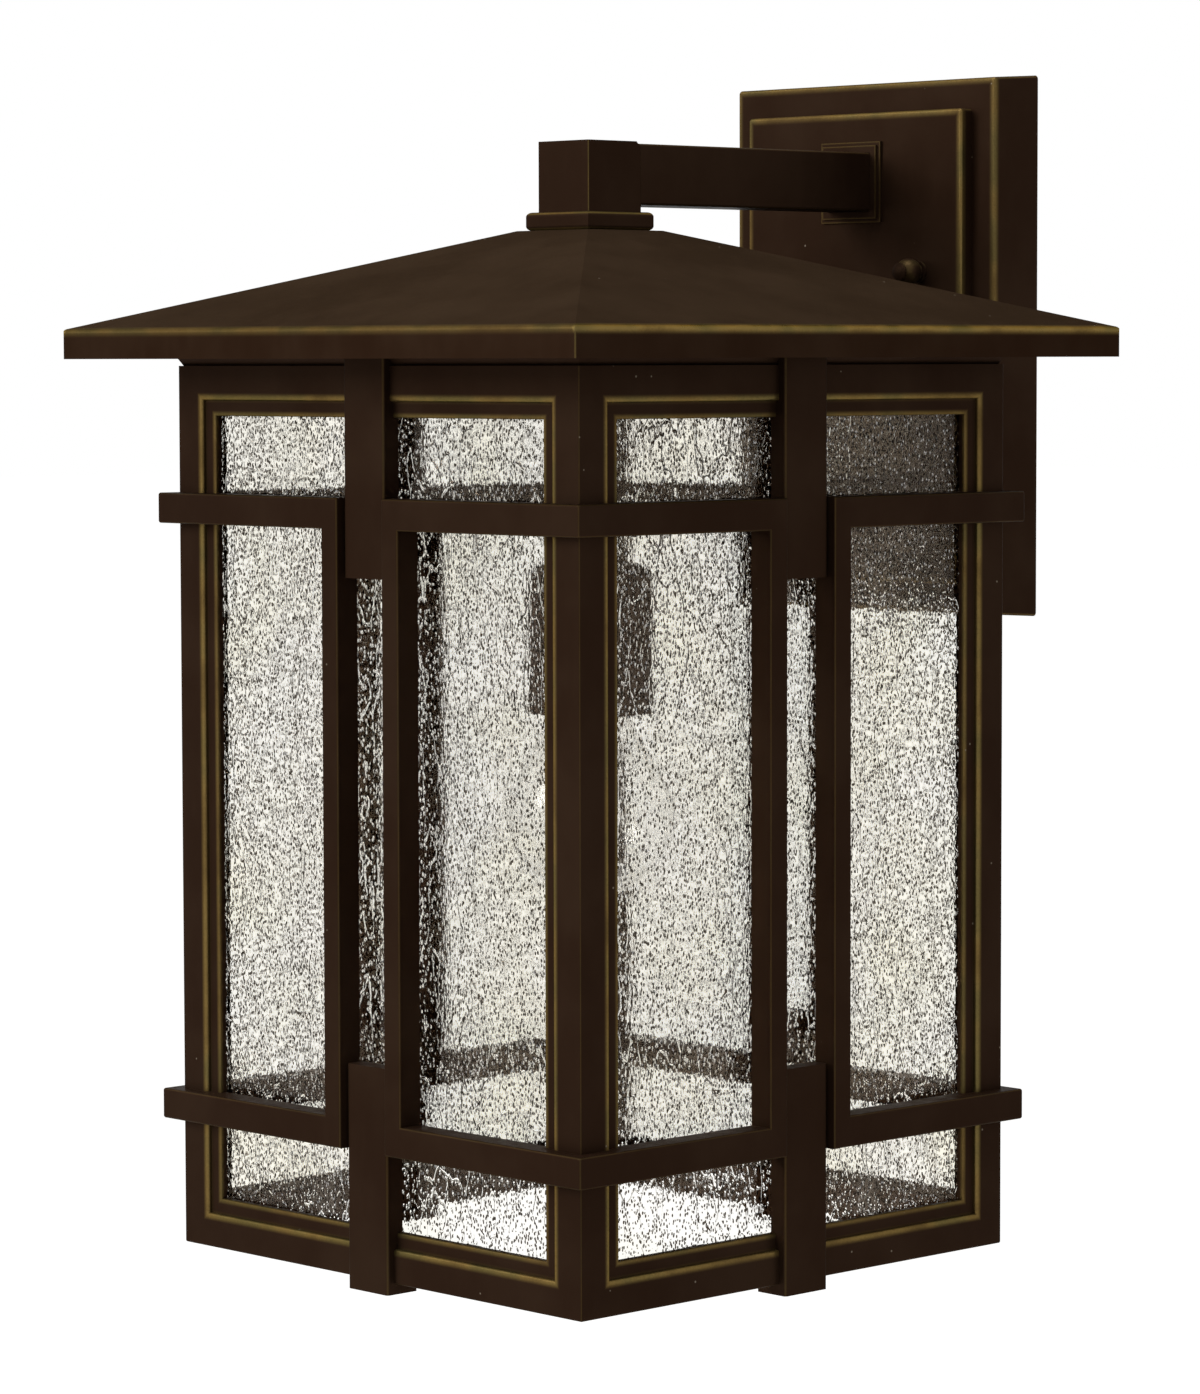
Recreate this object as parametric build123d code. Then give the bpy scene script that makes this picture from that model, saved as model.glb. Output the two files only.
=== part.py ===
from build123d import *
from math import cos, radians, sin
import os

os.makedirs("parts", exist_ok=True)

# Outdoor wall lantern of the mission style. All sizes are in millimetres.
# The wall is the plane y = 0, the lantern stands out towards -Y and +Z is up.
# The origin is the middle of the wall plate's back.

# Driving sizes: wall plate
plate_width = 152.0
plate_height = 226.0
plate_depth = 25.4
plate_draft = 1.5
plate_wall = 2.0
plate_corner = 1.6
panel_margin = 12.6
panel_rise = 6.6
edge_round = 1.0

# Driving sizes: wall strap, studs and cap nuts
stud_spread = 76.2
stud_height = 31.5
stud_diameter = 4.1
stud_hole = 4.6
strap_thickness = 2.4
strap_bar = 18.0
strap_width = 94.0
strap_height = 110.0
box_spacing = 82.9
box_slot_length = 17.9
box_slot_width = 4.8
strap_wire_hole = 14.0
ground_screw_offset = 21.0
ground_screw_diameter = 3.8
hex_nut_across = 8.7
hex_nut_height = 3.2
cap_ball = 11.0
cap_flange_diameter = 9.2
cap_flange_height = 1.0
cap_neck_diameter = 6.6
cap_neck_height = 0.9
cap_button_diameter = 7.4
cap_button_height = 1.5
cap_groove = 0.9
thread_play = 0.05
stud_grip = 6.5
gasket_width = 5.0
gasket_thickness = 3.0

# Driving sizes: arm and hub
reach = 186.0
arm_height_on_plate = 69.7
arm_width = 24.0
arm_tall = 24.6
arm_wall = 1.6
escutcheon_size = 34.0
escutcheon_base = 1.3
escutcheon_step = 1.1
escutcheon_inset = 1.6
slip_gap = 0.1
nipple_diameter = 10.0
nipple_bore = 6.5
arm_plug_length = 12.0
lock_nut_across = 14.0
lock_nut_height = 5.0
washer_diameter = 20.0
washer_thickness = 1.2
nipple_spare = 2.0
hub_width = 29.6
hub_wall = 2.5
hub_floor = 5.0
hub_top = 3.0
hub_above_arm = 0.7
hub_below_arm = 3.1
hub_rear_chamfer = 2.8
hub_corner = 0.8
collar_width = 36.4
collar_height = 7.4
collar_round = 1.9

# Driving sizes: roof
roof_width = 302.0
fascia_height = 11.8
roof_rise = 39.3
platform_width = 41.6
roof_corner = 0.8
roof_wall = 1.6
eave_round = 1.8
soffit_thickness = 1.2
neck_height = 2.8
neck_inset = 1.6
neck_rim = 12.0
neck_web = 1.2

# Driving sizes: cage, one side frame on each face
cage_width = 236.0
cage_height = 358.0
cage_round = 0.8
post_face = 15.2
rail_face = 13.8
ledge_width = 6.3
step_depth = 1.8
lip_depth = 3.0
glass_thickness = 3.2
glass_lap = 4.0
glass_clearance = 0.5
bead_round = 1.1
lip_round = 0.7

# Driving sizes: corner overlays and middle battens
overlay_proud = 6.2
overlay_inset = 51.2
band_height = 12.3
bar_width = 9.5
overlay_round = 1.0
batten_width = 23.6
batten_gap = 1.3
batten_proud = 3.5
upper_batten_length = 82.5
lower_batten_length = 85.0
batten_round = 1.4
foot_drop = 4.2
foot_depth = 15.0
glass_gap = 0.4

# Driving sizes: clips and screws in the cage
clip_spread = 100.0
clip_width = 12.0
clip_thickness = 0.8
clip_lap = 3.5
clip_edge = 4.0
clip_screw_diameter = 2.8
clip_screw_depth = 4.5
clip_head_diameter = 5.4
clip_head_height = 1.6
cage_screw_spread = 150.0
cage_screw_diameter = 3.5
cage_screw_length = 14.0
cage_screw_hole = 3.9
cage_head_diameter = 7.0
cage_head_height = 2.4

# Driving sizes: lamp holder
lamp_drop = 80.0
stem_diameter = 13.0
stem_bore = 10.4
cup_diameter = 49.2
cup_height = 61.0
cup_wall = 1.2
cup_shoulder = 8.0
cap_hub_diameter = 14.0
cap_hub_height = 3.4
cap_thickness = 1.4
cap_skirt = 6.0
socket_diameter = 37.0
socket_height = 40.0
socket_roof = 8.0
socket_bore = 28.8
shell_thickness = 0.6
shell_inset = 2.0
shell_height = 23.0
tongue_width = 7.0
tongue_length = 11.0
tongue_thickness = 0.9
terminal_diameter = 5.0
terminal_height = 1.2

# Driving sizes: bulb with a medium screw base
bulb_diameter = 66.0
bulb_tip_gap = 0.3
bulb_length = 120.7
bulb_wall = 0.9
bulb_neck_diameter = 28.6
bulb_neck_length = 8.0
bulb_shoulder_angle = 24.0
base_diameter = 26.4
base_height = 22.5
base_thickness = 0.5
tip_diameter = 9.6
tip_height = 1.7
insulator_diameter = 20.0
insulator_height = 3.6
mount_rise = 1.7
mount_rim = 1.5
mount_cone = 10.5
mount_diameter = 6.4
mount_length = 37.0
lead_diameter = 0.9
filament_span = 28.0
filament_drop = 20.0
filament_bow = 9.0
filament_diameter = 1.0
bulb_travel = 275.0

# Driving sizes: supply leads inside the arm
wire_diameter = 2.2
wire_spread = 2.8
wire_bend = 9.0
wire_tail = 10.0

# Places worked out from the driving sizes
hollow_depth = plate_depth - plate_wall
panel_front = plate_depth + panel_rise
panel_back = panel_front - plate_wall
face_width = plate_width - 2 * plate_draft
face_height = plate_height - 2 * plate_draft
panel_width = face_width - 2 * panel_margin
panel_height = face_height - 2 * panel_margin
arm_top = arm_height_on_plate + arm_tall / 2
arm_bottom = arm_height_on_plate - arm_tall / 2
hub_low = arm_bottom - hub_below_arm
hub_high = arm_top + hub_above_arm
arm_end = reach - hub_width / 2
platform_z = hub_low - collar_height
eave_z = platform_z - roof_rise
roof_low = eave_z - fascia_height
cage_top = roof_low - neck_height
cage_low = cage_top - cage_height
half = cage_width / 2
step_half = half - post_face
opening_half = step_half - ledge_width
rebate_half = opening_half + glass_lap
frame_depth = step_depth + lip_depth + glass_thickness
step_low = cage_low + rail_face
step_high = cage_top - rail_face
opening_low = step_low + ledge_width
opening_high = step_high - ledge_width
rebate_low = opening_low - glass_lap
rebate_high = opening_high + glass_lap
glass_front = half - step_depth - lip_depth
frame_back = half - frame_depth
overlay_face = half + overlay_proud
overlay_back = glass_front + glass_gap
overlay_low = cage_low + overlay_inset
overlay_high = cage_top - overlay_inset
bar_inner = batten_width / 2 + batten_gap
bar_outer = bar_inner + bar_width
batten_face = half + batten_proud
cup_top = cage_top - lamp_drop
cup_low = cup_top - cup_height
cap_hub_low = cup_top - cup_wall - cap_hub_height
socket_top = cap_hub_low - cap_thickness
socket_low = socket_top - socket_height
socket_floor = socket_top - socket_roof
tip_z = socket_floor - tongue_thickness - bulb_tip_gap
bulb_low = tip_z - bulb_length
bulb_radius = bulb_diameter / 2
bulb_middle = bulb_low + bulb_radius
shell_top = tip_z - tip_height - insulator_height
base_low = shell_top - base_height
neck_low = base_low - bulb_neck_length
mount_low = base_low - mount_length
nut_low = cage_top - washer_thickness - lock_nut_height


# Helpers
def cuboid(x0, x1, y0, y1, z0, z1):
    """Box between two corners."""
    middle = Pos((x0 + x1) / 2, (y0 + y1) / 2, (z0 + z1) / 2)
    return middle * Box(x1 - x0, y1 - y0, z1 - z0)


def rod(diameter, z0, z1, x=0.0, y=0.0):
    """Upright cylinder between two heights."""
    return Pos(x, y, (z0 + z1) / 2) * Cylinder(diameter / 2, z1 - z0)


def ring(outer, inner, z0, z1, x=0.0, y=0.0):
    """Upright tube between two heights."""
    return rod(outer, z0, z1, x, y) - rod(inner, z0 - 1, z1 + 1, x, y)


def hexagon(across, z0, z1, bore, x=0.0, y=0.0):
    """Hexagon nut with a plain bore."""
    flats = RegularPolygon(across / 2, 6, major_radius=False)
    body = extrude(Pos(x, y, z0) * flats, z1 - z0)
    return body - rod(bore, z0 - 1, z1 + 1, x, y)


def turned(outline):
    """Solid turned about the Z axis from a closed outline in the XZ plane."""
    return revolve(Plane.XZ * make_face(outline), Axis.Z)


def crown(radius, low, high):
    """Domed line from a rim at the given radius up to its top on the Z axis."""
    sphere = (radius**2 + (high - low) ** 2) / (2 * (high - low))
    centre = high - sphere
    middle = (radius / 2, centre + (sphere**2 - radius**2 / 4) ** 0.5)
    return ThreePointArc((radius, low), middle, (0, high))


def off_wall(shape):
    """Turns a piece drawn on the floor, with z away from the wall, onto the wall."""
    return Rot(90, 0, 0) * shape


def on_lantern(shape):
    """Moves a piece drawn about the Z axis to the lantern's own axis."""
    return Pos(0, -reach, 0) * shape


def quarter_turn(shape, turns):
    """Turns a piece about the Z axis from the front face to the next faces."""
    return Rot(0, 0, 90 * turns) * shape


def save(name, *shapes):
    """Writes one node, made of one or more solids."""
    solids = [solid for shape in shapes for solid in shape.solids()]
    node = solids[0] if len(solids) == 1 else Compound(solids)
    node.label = name
    export_step(node, f"parts/{name}.step")


# Wall plate: a drafted pan with a raised middle panel, open towards the wall
def pan(width, height, depth, grow, corner):
    """Drafted block from the wall to the given depth."""
    back = RectangleRounded(width, height, corner)
    front = RectangleRounded(width - 2 * grow, height - 2 * grow, corner)
    return loft([back, Pos(0, 0, depth) * front])


def raised_panel(width, height, low, high, corner):
    """Straight block standing on the pan."""
    return extrude(Pos(0, 0, low) * RectangleRounded(width, height, corner), high - low)


def stud_places():
    """Middles of the two studs as seen on the wall."""
    return [(side * stud_spread / 2, stud_height) for side in (-1, 1)]


def wall_plate():
    body = pan(plate_width, plate_height, plate_depth, plate_draft, plate_corner)
    body = fillet(body.faces().sort_by(Axis.Z)[-1].edges(), edge_round)
    panel = raised_panel(panel_width, panel_height, plate_depth / 2, panel_front, plate_corner)
    panel = fillet(panel.faces().sort_by(Axis.Z)[-1].edges(), edge_round)
    hollow_width = plate_width - 2 * plate_wall
    hollow_height = plate_height - 2 * plate_wall
    inner_corner = plate_corner / 2
    body += panel
    body -= pan(hollow_width, hollow_height, hollow_depth, plate_draft, inner_corner)
    inner_width = panel_width - 2 * plate_wall
    inner_height = panel_height - 2 * plate_wall
    body -= raised_panel(inner_width, inner_height, plate_depth / 2, panel_back, inner_corner)
    for x, y in stud_places():
        body -= rod(stud_hole, panel_back - 1, panel_front + 1, x, y)
    hole = nipple_diameter + 2 * slip_gap
    body -= rod(hole, panel_back - 1, panel_front + 1, 0, arm_height_on_plate)
    return body


def mounting_strap():
    """Steel cross with two tapped stud holes and two slots for the wall box."""
    upright = Pos(0, stud_height) * RectangleRounded(strap_bar, strap_height, strap_bar / 4)
    level = Pos(0, stud_height) * RectangleRounded(strap_width, strap_bar, strap_bar / 4)
    plan = upright + level
    plan -= Pos(0, stud_height) * Circle(strap_wire_hole / 2)
    for side in (-1, 1):
        slot = SlotOverall(box_slot_length, box_slot_width, rotation=90)
        plan -= Pos(0, stud_height + side * box_spacing / 2) * slot
    for x, y in stud_places():
        plan -= Pos(x, y) * Circle(stud_diameter / 2)
    plan -= Pos(ground_screw_offset, stud_height) * Circle(ground_screw_diameter / 2)
    return extrude(plan, strap_thickness)


def studs():
    tip = panel_front + stud_grip
    return [rod(stud_diameter, 0, tip, x, y) for x, y in stud_places()]


def stud_nuts():
    high = strap_thickness + hex_nut_height
    return [hexagon(hex_nut_across, strap_thickness, high, stud_diameter, x, y) for x, y in stud_places()]


def ground_screw():
    x, y = ground_screw_offset, stud_height
    shank = rod(ground_screw_diameter, 0, strap_thickness + 1.0, x, y)
    flange_top = strap_thickness + 1.0
    flange = rod(2.4 * ground_screw_diameter, strap_thickness, flange_top, x, y)
    head = RegularPolygon(0.9 * ground_screw_diameter, 6, major_radius=False)
    head = extrude(Pos(x, y, flange_top) * head, 0.6 * ground_screw_diameter)
    return shank + flange + head


def wall_gasket():
    """Foam strip that lines the pan's rim against the wall."""
    shrink = plate_draft * gasket_thickness / hollow_depth
    outer_width = plate_width - 2 * (plate_wall + shrink)
    outer_height = plate_height - 2 * (plate_wall + shrink)
    inner_width = outer_width - 2 * gasket_width
    inner_height = outer_height - 2 * gasket_width
    plan = RectangleRounded(outer_width, outer_height, plate_corner / 2)
    plan -= RectangleRounded(inner_width, inner_height, plate_corner / 2)
    return extrude(plan, gasket_thickness)


def cap_nut():
    """Ball nut with a flange, a neck and a small button, drawn from the panel out."""
    radius = cap_ball / 2
    flange_r = cap_flange_diameter / 2
    neck_r = cap_neck_diameter / 2
    button_r = cap_button_diameter / 2
    neck_top = cap_flange_height + cap_neck_height
    ball_low = (radius**2 - neck_r**2) ** 0.5
    middle = neck_top + ball_low
    groove_r = button_r - cap_groove
    ball_high = middle + (radius**2 - groove_r**2) ** 0.5
    button_low = ball_high + cap_groove / 2
    rim = button_low + cap_button_height / 2
    foot = [(0, 0), (flange_r, 0), (flange_r, cap_flange_height), (neck_r, cap_flange_height)]
    button = [(groove_r, ball_high), (groove_r, button_low), (button_r, button_low), (button_r, rim)]
    top = button_low + cap_button_height
    shape = [
        Polyline((0, top), *foot, (neck_r, neck_top)),
        ThreePointArc((neck_r, neck_top), (radius, middle), (groove_r, ball_high)),
        Polyline(*button),
        crown(button_r, rim, top),
    ]
    body = turned(shape)
    return body - rod(stud_diameter + 2 * thread_play, -1, stud_grip + 1.0)


# Arm from the plate to the hub
def arm():
    tube = Pos(0, arm_height_on_plate) * RectangleRounded(arm_width, arm_tall, edge_round)
    inner = Rectangle(arm_width - 2 * arm_wall, arm_tall - 2 * arm_wall)
    tube -= Pos(0, arm_height_on_plate) * inner
    return extrude(Pos(0, 0, panel_front) * tube, arm_end - panel_front)


def arm_escutcheon():
    """Square cover of two steps that slides over the arm."""
    smaller = escutcheon_size - 2 * escutcheon_inset
    base = Pos(0, arm_height_on_plate, panel_front) * Rectangle(escutcheon_size, escutcheon_size)
    step_z = panel_front + escutcheon_base
    step = Pos(0, arm_height_on_plate, step_z) * Rectangle(smaller, smaller)
    body = extrude(base, escutcheon_base) + extrude(step, escutcheon_step)
    hole = Rectangle(arm_width + 2 * slip_gap, arm_tall + 2 * slip_gap)
    hole = Pos(0, arm_height_on_plate, panel_front) * hole
    return body - extrude(hole, escutcheon_base + escutcheon_step)


def arm_wall_plug():
    """Tapped block welded in the arm's wall end."""
    block = Rectangle(arm_width - 2 * arm_wall, arm_tall - 2 * arm_wall)
    block = extrude(Pos(0, arm_height_on_plate, panel_front) * block, arm_plug_length)
    end = panel_front + arm_plug_length
    return block - rod(nipple_diameter, panel_front - 1, end + 1, 0, arm_height_on_plate)


def arm_nipple():
    nut_back = panel_back - washer_thickness - lock_nut_height
    low = nut_back - nipple_spare
    high = panel_front + arm_plug_length
    return ring(nipple_diameter, nipple_bore, low, high, 0, arm_height_on_plate)


def arm_washer():
    low = panel_back - washer_thickness
    return ring(washer_diameter, nipple_diameter, low, panel_back, 0, arm_height_on_plate)


def arm_lock_nut():
    high = panel_back - washer_thickness
    low = high - lock_nut_height
    return hexagon(lock_nut_across, low, high, nipple_diameter, 0, arm_height_on_plate)


# Hub, collar and roof, drawn about the lantern's axis
def hub_post():
    side = hub_width / 2
    body = extrude(Pos(0, 0, hub_low) * Rectangle(hub_width, hub_width), hub_high - hub_low)
    rear = body.edges().filter_by(Axis.X).sort_by(Axis.Z)[-2:].sort_by(Axis.Y)[-1]
    body = chamfer(rear, hub_rear_chamfer)
    body = fillet(body.edges().filter_by(Axis.Z), hub_corner)
    inner = side - hub_wall
    body -= cuboid(-inner, inner, -inner, inner, hub_low + hub_floor, hub_high - hub_top)
    body -= rod(nipple_diameter, hub_low - 1, hub_low + hub_floor + 1)
    wire_hole = Pos(0, side - hub_wall / 2, arm_height_on_plate) * Rot(90, 0, 0)
    return body - wire_hole * Cylinder(nipple_diameter / 2, 2 * hub_wall)


def roof_collar():
    body = extrude(Pos(0, 0, platform_z) * Rectangle(collar_width, collar_width), collar_height)
    rims = body.faces().sort_by(Axis.Z)
    body = fillet(rims[0].edges() + rims[-1].edges(), collar_round)
    return body - rod(nipple_diameter + 2 * slip_gap, platform_z - 1, hub_low + 1)


def roof():
    """Low hipped roof with an upright fascia, folded from sheet."""
    eave = Rectangle(roof_width, roof_width)
    top = Rectangle(platform_width, platform_width)
    body = extrude(Pos(0, 0, roof_low) * eave, fascia_height)
    body += loft([Pos(0, 0, eave_z) * eave, Pos(0, 0, platform_z) * top])
    body = fillet(body.edges().filter_by_position(Axis.Z, eave_z, eave_z), eave_round)
    column = RectangleRounded(roof_width, roof_width, roof_corner)
    body &= extrude(Pos(0, 0, roof_low) * column, platform_z - roof_low)
    slope = roof_rise / ((roof_width - platform_width) / 2)
    drop = roof_wall * (1 + slope**2) ** 0.5
    inner_eave_z = eave_z + slope * roof_wall - drop
    inner_top_z = platform_z - roof_wall
    inner_width = roof_width - 2 * roof_wall
    inner_top = platform_width + 2 * (drop - roof_wall) / slope
    inner_eave = Rectangle(inner_width, inner_width)
    cap = Rectangle(inner_top, inner_top)
    body -= extrude(Pos(0, 0, roof_low) * inner_eave, inner_eave_z - roof_low)
    body -= loft([Pos(0, 0, inner_eave_z) * inner_eave, Pos(0, 0, inner_top_z) * cap])
    return body - rod(nipple_diameter + 2 * slip_gap, inner_top_z - 1, platform_z + 1)


def cage_screw_places():
    """Middles of the four screws that hold the cage under the roof."""
    x = cage_screw_spread / 2
    y = half - frame_depth / 2
    return [(sx * x, sy * y) for sx in (-1, 1) for sy in (-1, 1)]


def roof_soffit():
    """Flat sheet that closes the roof inside the fascia."""
    width = roof_width - 2 * roof_wall
    sheet = Rectangle(width, width)
    sheet -= Circle(nipple_diameter / 2 + slip_gap)
    for x, y in cage_screw_places():
        sheet -= Pos(x, y) * Circle(cage_screw_hole / 2)
    return extrude(Pos(0, 0, roof_low) * sheet, soffit_thickness)


def neck_plate():
    """Square tray between roof and cage, with sloping edges and a thick rim."""
    low = Rectangle(cage_width - 2 * neck_inset, cage_width - 2 * neck_inset)
    high = Rectangle(cage_width, cage_width)
    body = loft([Pos(0, 0, cage_top) * low, Pos(0, 0, roof_low) * high])
    inner = half - neck_rim
    body -= cuboid(-inner, inner, -inner, inner, cage_top + neck_web, roof_low + 1)
    body -= rod(nipple_diameter + 2 * slip_gap, cage_top - 1, roof_low + 1)
    for x, y in cage_screw_places():
        body -= rod(cage_screw_hole, cage_top - 1, roof_low + 1, x, y)
    return body


def cage_screws():
    head_low = roof_low + soffit_thickness
    head_high = head_low + cage_head_height
    screws = []
    for x, y in cage_screw_places():
        shank = rod(cage_screw_diameter, head_low - cage_screw_length, head_low, x, y)
        head = rod(cage_head_diameter, head_low, head_high, x, y)
        screws.append(shank + head)
    return screws


# Cage: four mitred side frames with a stepped moulding round the glass
def clip_places():
    """Sideways places and heights of the four clips of one pane, with their sense."""
    reach_in = clip_spread / 2
    return [(sx * reach_in, sz) for sx in (-1, 1) for sz in (-1, 1)]


def clip_screw_z(sense):
    """Height of a clip's screw, in the middle of the rail's land."""
    land = rail_face + ledge_width - glass_lap
    return cage_top - land / 2 if sense > 0 else cage_low + land / 2


def cage_envelope():
    """Outside of the cage, with its uprights and lower edges rounded."""
    block = cuboid(-half, half, -half, half, cage_low, cage_top)
    edges = block.edges().filter_by(Axis.Z) + block.faces().sort_by(Axis.Z)[0].edges()
    return fillet(edges, cage_round)


def side_frame():
    """Front frame. The other three are the same piece, turned."""
    plan = Polyline(
        (-half, -half), (half, -half), (frame_back, -frame_back), (-frame_back, -frame_back), close=True
    )
    body = extrude(Pos(0, 0, cage_low) * make_face(plan), cage_height) & cage_envelope()
    step_back = -half + step_depth
    body -= cuboid(-step_half, step_half, -half - 1, step_back, step_low, step_high)
    body -= cuboid(
        -opening_half, opening_half, -half - 1, -frame_back + 1, opening_low, opening_high
    )
    body -= cuboid(-rebate_half, rebate_half, -glass_front, -frame_back + 1, rebate_low, rebate_high)
    outer = body.edges().filter_by_position(Axis.Y, -half - 0.01, -half + 0.01)
    outer = outer.filter_by_position(Axis.X, -step_half - 0.01, step_half + 0.01)
    outer = outer.filter_by_position(Axis.Z, step_low - 0.01, step_high + 0.01)
    body = fillet(outer, bead_round)
    lip = body.edges().filter_by_position(Axis.Y, step_back - 0.01, step_back + 0.01)
    lip = lip.filter_by_position(Axis.X, -opening_half - 0.01, opening_half + 0.01)
    lip = lip.filter_by_position(Axis.Z, opening_low - 0.01, opening_high + 0.01)
    body = fillet(lip, lip_round)
    for x, sense in clip_places():
        hole = Pos(x, -frame_back - clip_screw_depth / 2, clip_screw_z(sense)) * Rot(90, 0, 0)
        body -= hole * Cylinder(clip_screw_diameter / 2, clip_screw_depth)
    return body


def drilled(frame, turns):
    """Frame in its place, with the cage screws' holes where they pass through it."""
    placed = quarter_turn(frame, turns)
    low = roof_low + soffit_thickness - cage_screw_length
    for x, y in cage_screw_places():
        placed -= rod(cage_screw_diameter, low, cage_top + 1, x, y)
    return placed


def pane():
    edge = rebate_half - glass_clearance
    low = rebate_low + glass_clearance
    high = rebate_high - glass_clearance
    return cuboid(-edge, edge, -glass_front, -frame_back, low, high)


def clip_and_screw(x, sense):
    """Spring clip that laps the pane, and its pan-head screw."""
    screw_z = clip_screw_z(sense)
    land_edge = rebate_high if sense > 0 else rebate_low
    rail_edge = cage_top if sense > 0 else cage_low
    z0, z1 = sorted((land_edge - sense * clip_lap, rail_edge - sense * clip_edge))
    back = -frame_back + clip_thickness
    clip = cuboid(x - clip_width / 2, x + clip_width / 2, -frame_back, back, z0, z1)
    drill = Pos(x, back, screw_z) * Rot(90, 0, 0)
    clip -= drill * Cylinder(clip_screw_diameter / 2, 4 * clip_thickness)
    head = Pos(x, back + clip_head_height / 2, screw_z) * Rot(90, 0, 0)
    head = head * Cylinder(clip_head_diameter / 2, clip_head_height)
    length = clip_screw_depth + clip_thickness
    shank = Pos(x, back - length / 2, screw_z) * Rot(90, 0, 0)
    return clip, head + shank * Cylinder(clip_screw_diameter / 2, length)


# Corner overlays: two bands wrapped round the post, joined by two bars
def corner_overlay(frames):
    """Overlay of the corner between the front and right faces, cut over the frames."""
    body = None
    for z0 in (overlay_low, overlay_high - band_height):
        z1 = z0 + band_height
        front = cuboid(bar_inner, overlay_face, -overlay_face, -overlay_back, z0, z1)
        side = cuboid(overlay_back, overlay_face, -overlay_face, -bar_inner, z0, z1)
        body = front + side if body is None else body + front + side
    bar = cuboid(bar_inner, bar_outer, -overlay_face, -overlay_back, overlay_low, overlay_high)
    body += bar
    body += cuboid(overlay_back, overlay_face, -bar_outer, -bar_inner, overlay_low, overlay_high)
    face = body.edges().filter_by_position(Axis.Y, -overlay_face - 0.01, -overlay_face + 0.01)
    side = body.edges().filter_by_position(Axis.X, overlay_face - 0.01, overlay_face + 0.01)
    body = fillet(list(dict.fromkeys(list(face) + list(side))), overlay_round)
    for frame in frames:
        body -= frame
    return body


def upper_batten(frame, neck):
    low = cage_top - upper_batten_length
    body = cuboid(
        -batten_width / 2, batten_width / 2, -batten_face, -overlay_back, low, roof_low
    )
    body = round_batten(body)
    return body - frame - neck


def lower_batten(frame):
    high = cage_low + lower_batten_length
    low = cage_low - foot_drop
    side = batten_width / 2
    body = cuboid(-side, side, -batten_face, -overlay_back, low, high)
    body += cuboid(-side, side, -batten_face, -batten_face + foot_depth, low, cage_low)
    body = round_batten(body)
    return body - frame


def round_batten(body):
    """Rounds the two long front edges of a batten."""
    edges = body.edges().filter_by(Axis.Z)
    edges = edges.filter_by_position(Axis.Y, -batten_face - 0.01, -batten_face + 0.01)
    return fillet(edges, batten_round)


# Lamp holder that hangs from the neck plate
def lamp_nipple():
    return ring(nipple_diameter, nipple_bore, socket_top, hub_low + hub_floor)


def ceiling_washer():
    return ring(washer_diameter, nipple_diameter, cage_top - washer_thickness, cage_top)


def ceiling_nut():
    return hexagon(lock_nut_across, nut_low, cage_top - washer_thickness, nipple_diameter)


def stem_tube():
    return ring(stem_diameter, stem_bore, cup_top, nut_low)


def cup_wall_line(radius, top, low, shoulder):
    """Outline of the cup from its flat top, round the shoulder and down to the lip."""
    turn_x = radius - shoulder
    turn_z = top - shoulder
    middle = (turn_x + shoulder * cos(radians(45)), turn_z + shoulder * sin(radians(45)))
    return [(turn_x, top), middle, (radius, turn_z), (radius, low)]


def socket_cup():
    radius = cup_diameter / 2
    inner_r = radius - cup_wall
    bore = nipple_diameter / 2
    inner_top = cup_top - cup_wall
    out_a, out_b, out_c, out_d = cup_wall_line(radius, cup_top, cup_low, cup_shoulder)
    in_a, in_b, in_c, in_d = cup_wall_line(inner_r, inner_top, cup_low, cup_shoulder - cup_wall)
    shape = [
        Line((bore, cup_top), out_a),
        ThreePointArc(out_a, out_b, out_c),
        Line(out_c, out_d),
        Line(out_d, in_d),
        Line(in_d, in_c),
        ThreePointArc(in_c, in_b, in_a),
        Line(in_a, (bore, inner_top)),
        Line((bore, inner_top), (bore, cup_top)),
    ]
    return turned(shape)


def socket_cap():
    """Brass cap screwed on the nipple, with a skirt round the porcelain."""
    bore = nipple_diameter / 2
    hub_r = cap_hub_diameter / 2
    skirt_r = socket_diameter / 2 + cap_thickness
    top = cup_top - cup_wall
    points = [
        (bore, top),
        (hub_r, top),
        (hub_r, cap_hub_low),
        (skirt_r, cap_hub_low),
        (skirt_r, socket_top - cap_skirt),
        (socket_diameter / 2, socket_top - cap_skirt),
        (socket_diameter / 2, socket_top),
        (bore, socket_top),
    ]
    return turned(Polyline(*points, close=True))


def socket_body():
    body = rod(socket_diameter, socket_low, socket_top)
    body = chamfer(body.faces().sort_by(Axis.Z)[0].edges(), 1.2)
    return body - rod(socket_bore, socket_low - 1, socket_floor)


def socket_shell():
    high = socket_low + shell_inset + shell_height
    return ring(socket_bore, socket_bore - 2 * shell_thickness, socket_low + shell_inset, high)


def socket_tongue():
    """Spring contact under the socket's roof."""
    low = socket_floor - tongue_thickness
    plan = SlotOverall(tongue_length, tongue_width)
    return extrude(Pos(0, 0, low) * plan, tongue_thickness)


def terminal_screws():
    """Two rivet heads on the socket's roof inside the bore, beside the tongue."""
    offset = (socket_bore - terminal_diameter) / 2 - 2.0
    low = socket_floor - terminal_height
    return [rod(terminal_diameter, low, socket_floor, 0, side * offset) for side in (-1, 1)]


# Clear bulb
def bulb_line(inset):
    """Bulb outline from the neck to the bottom, set in by the glass thickness."""
    radius = bulb_radius - inset
    neck = bulb_neck_diameter / 2 - inset
    angle = radians(bulb_shoulder_angle)
    meet = (radius * cos(angle), bulb_middle + radius * sin(angle))
    side = (radius * cos(angle / 2 - radians(20)), bulb_middle + radius * sin(angle / 2 - radians(20)))
    return neck, meet, side, (0, bulb_middle - radius), (sin(angle), -cos(angle))


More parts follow.
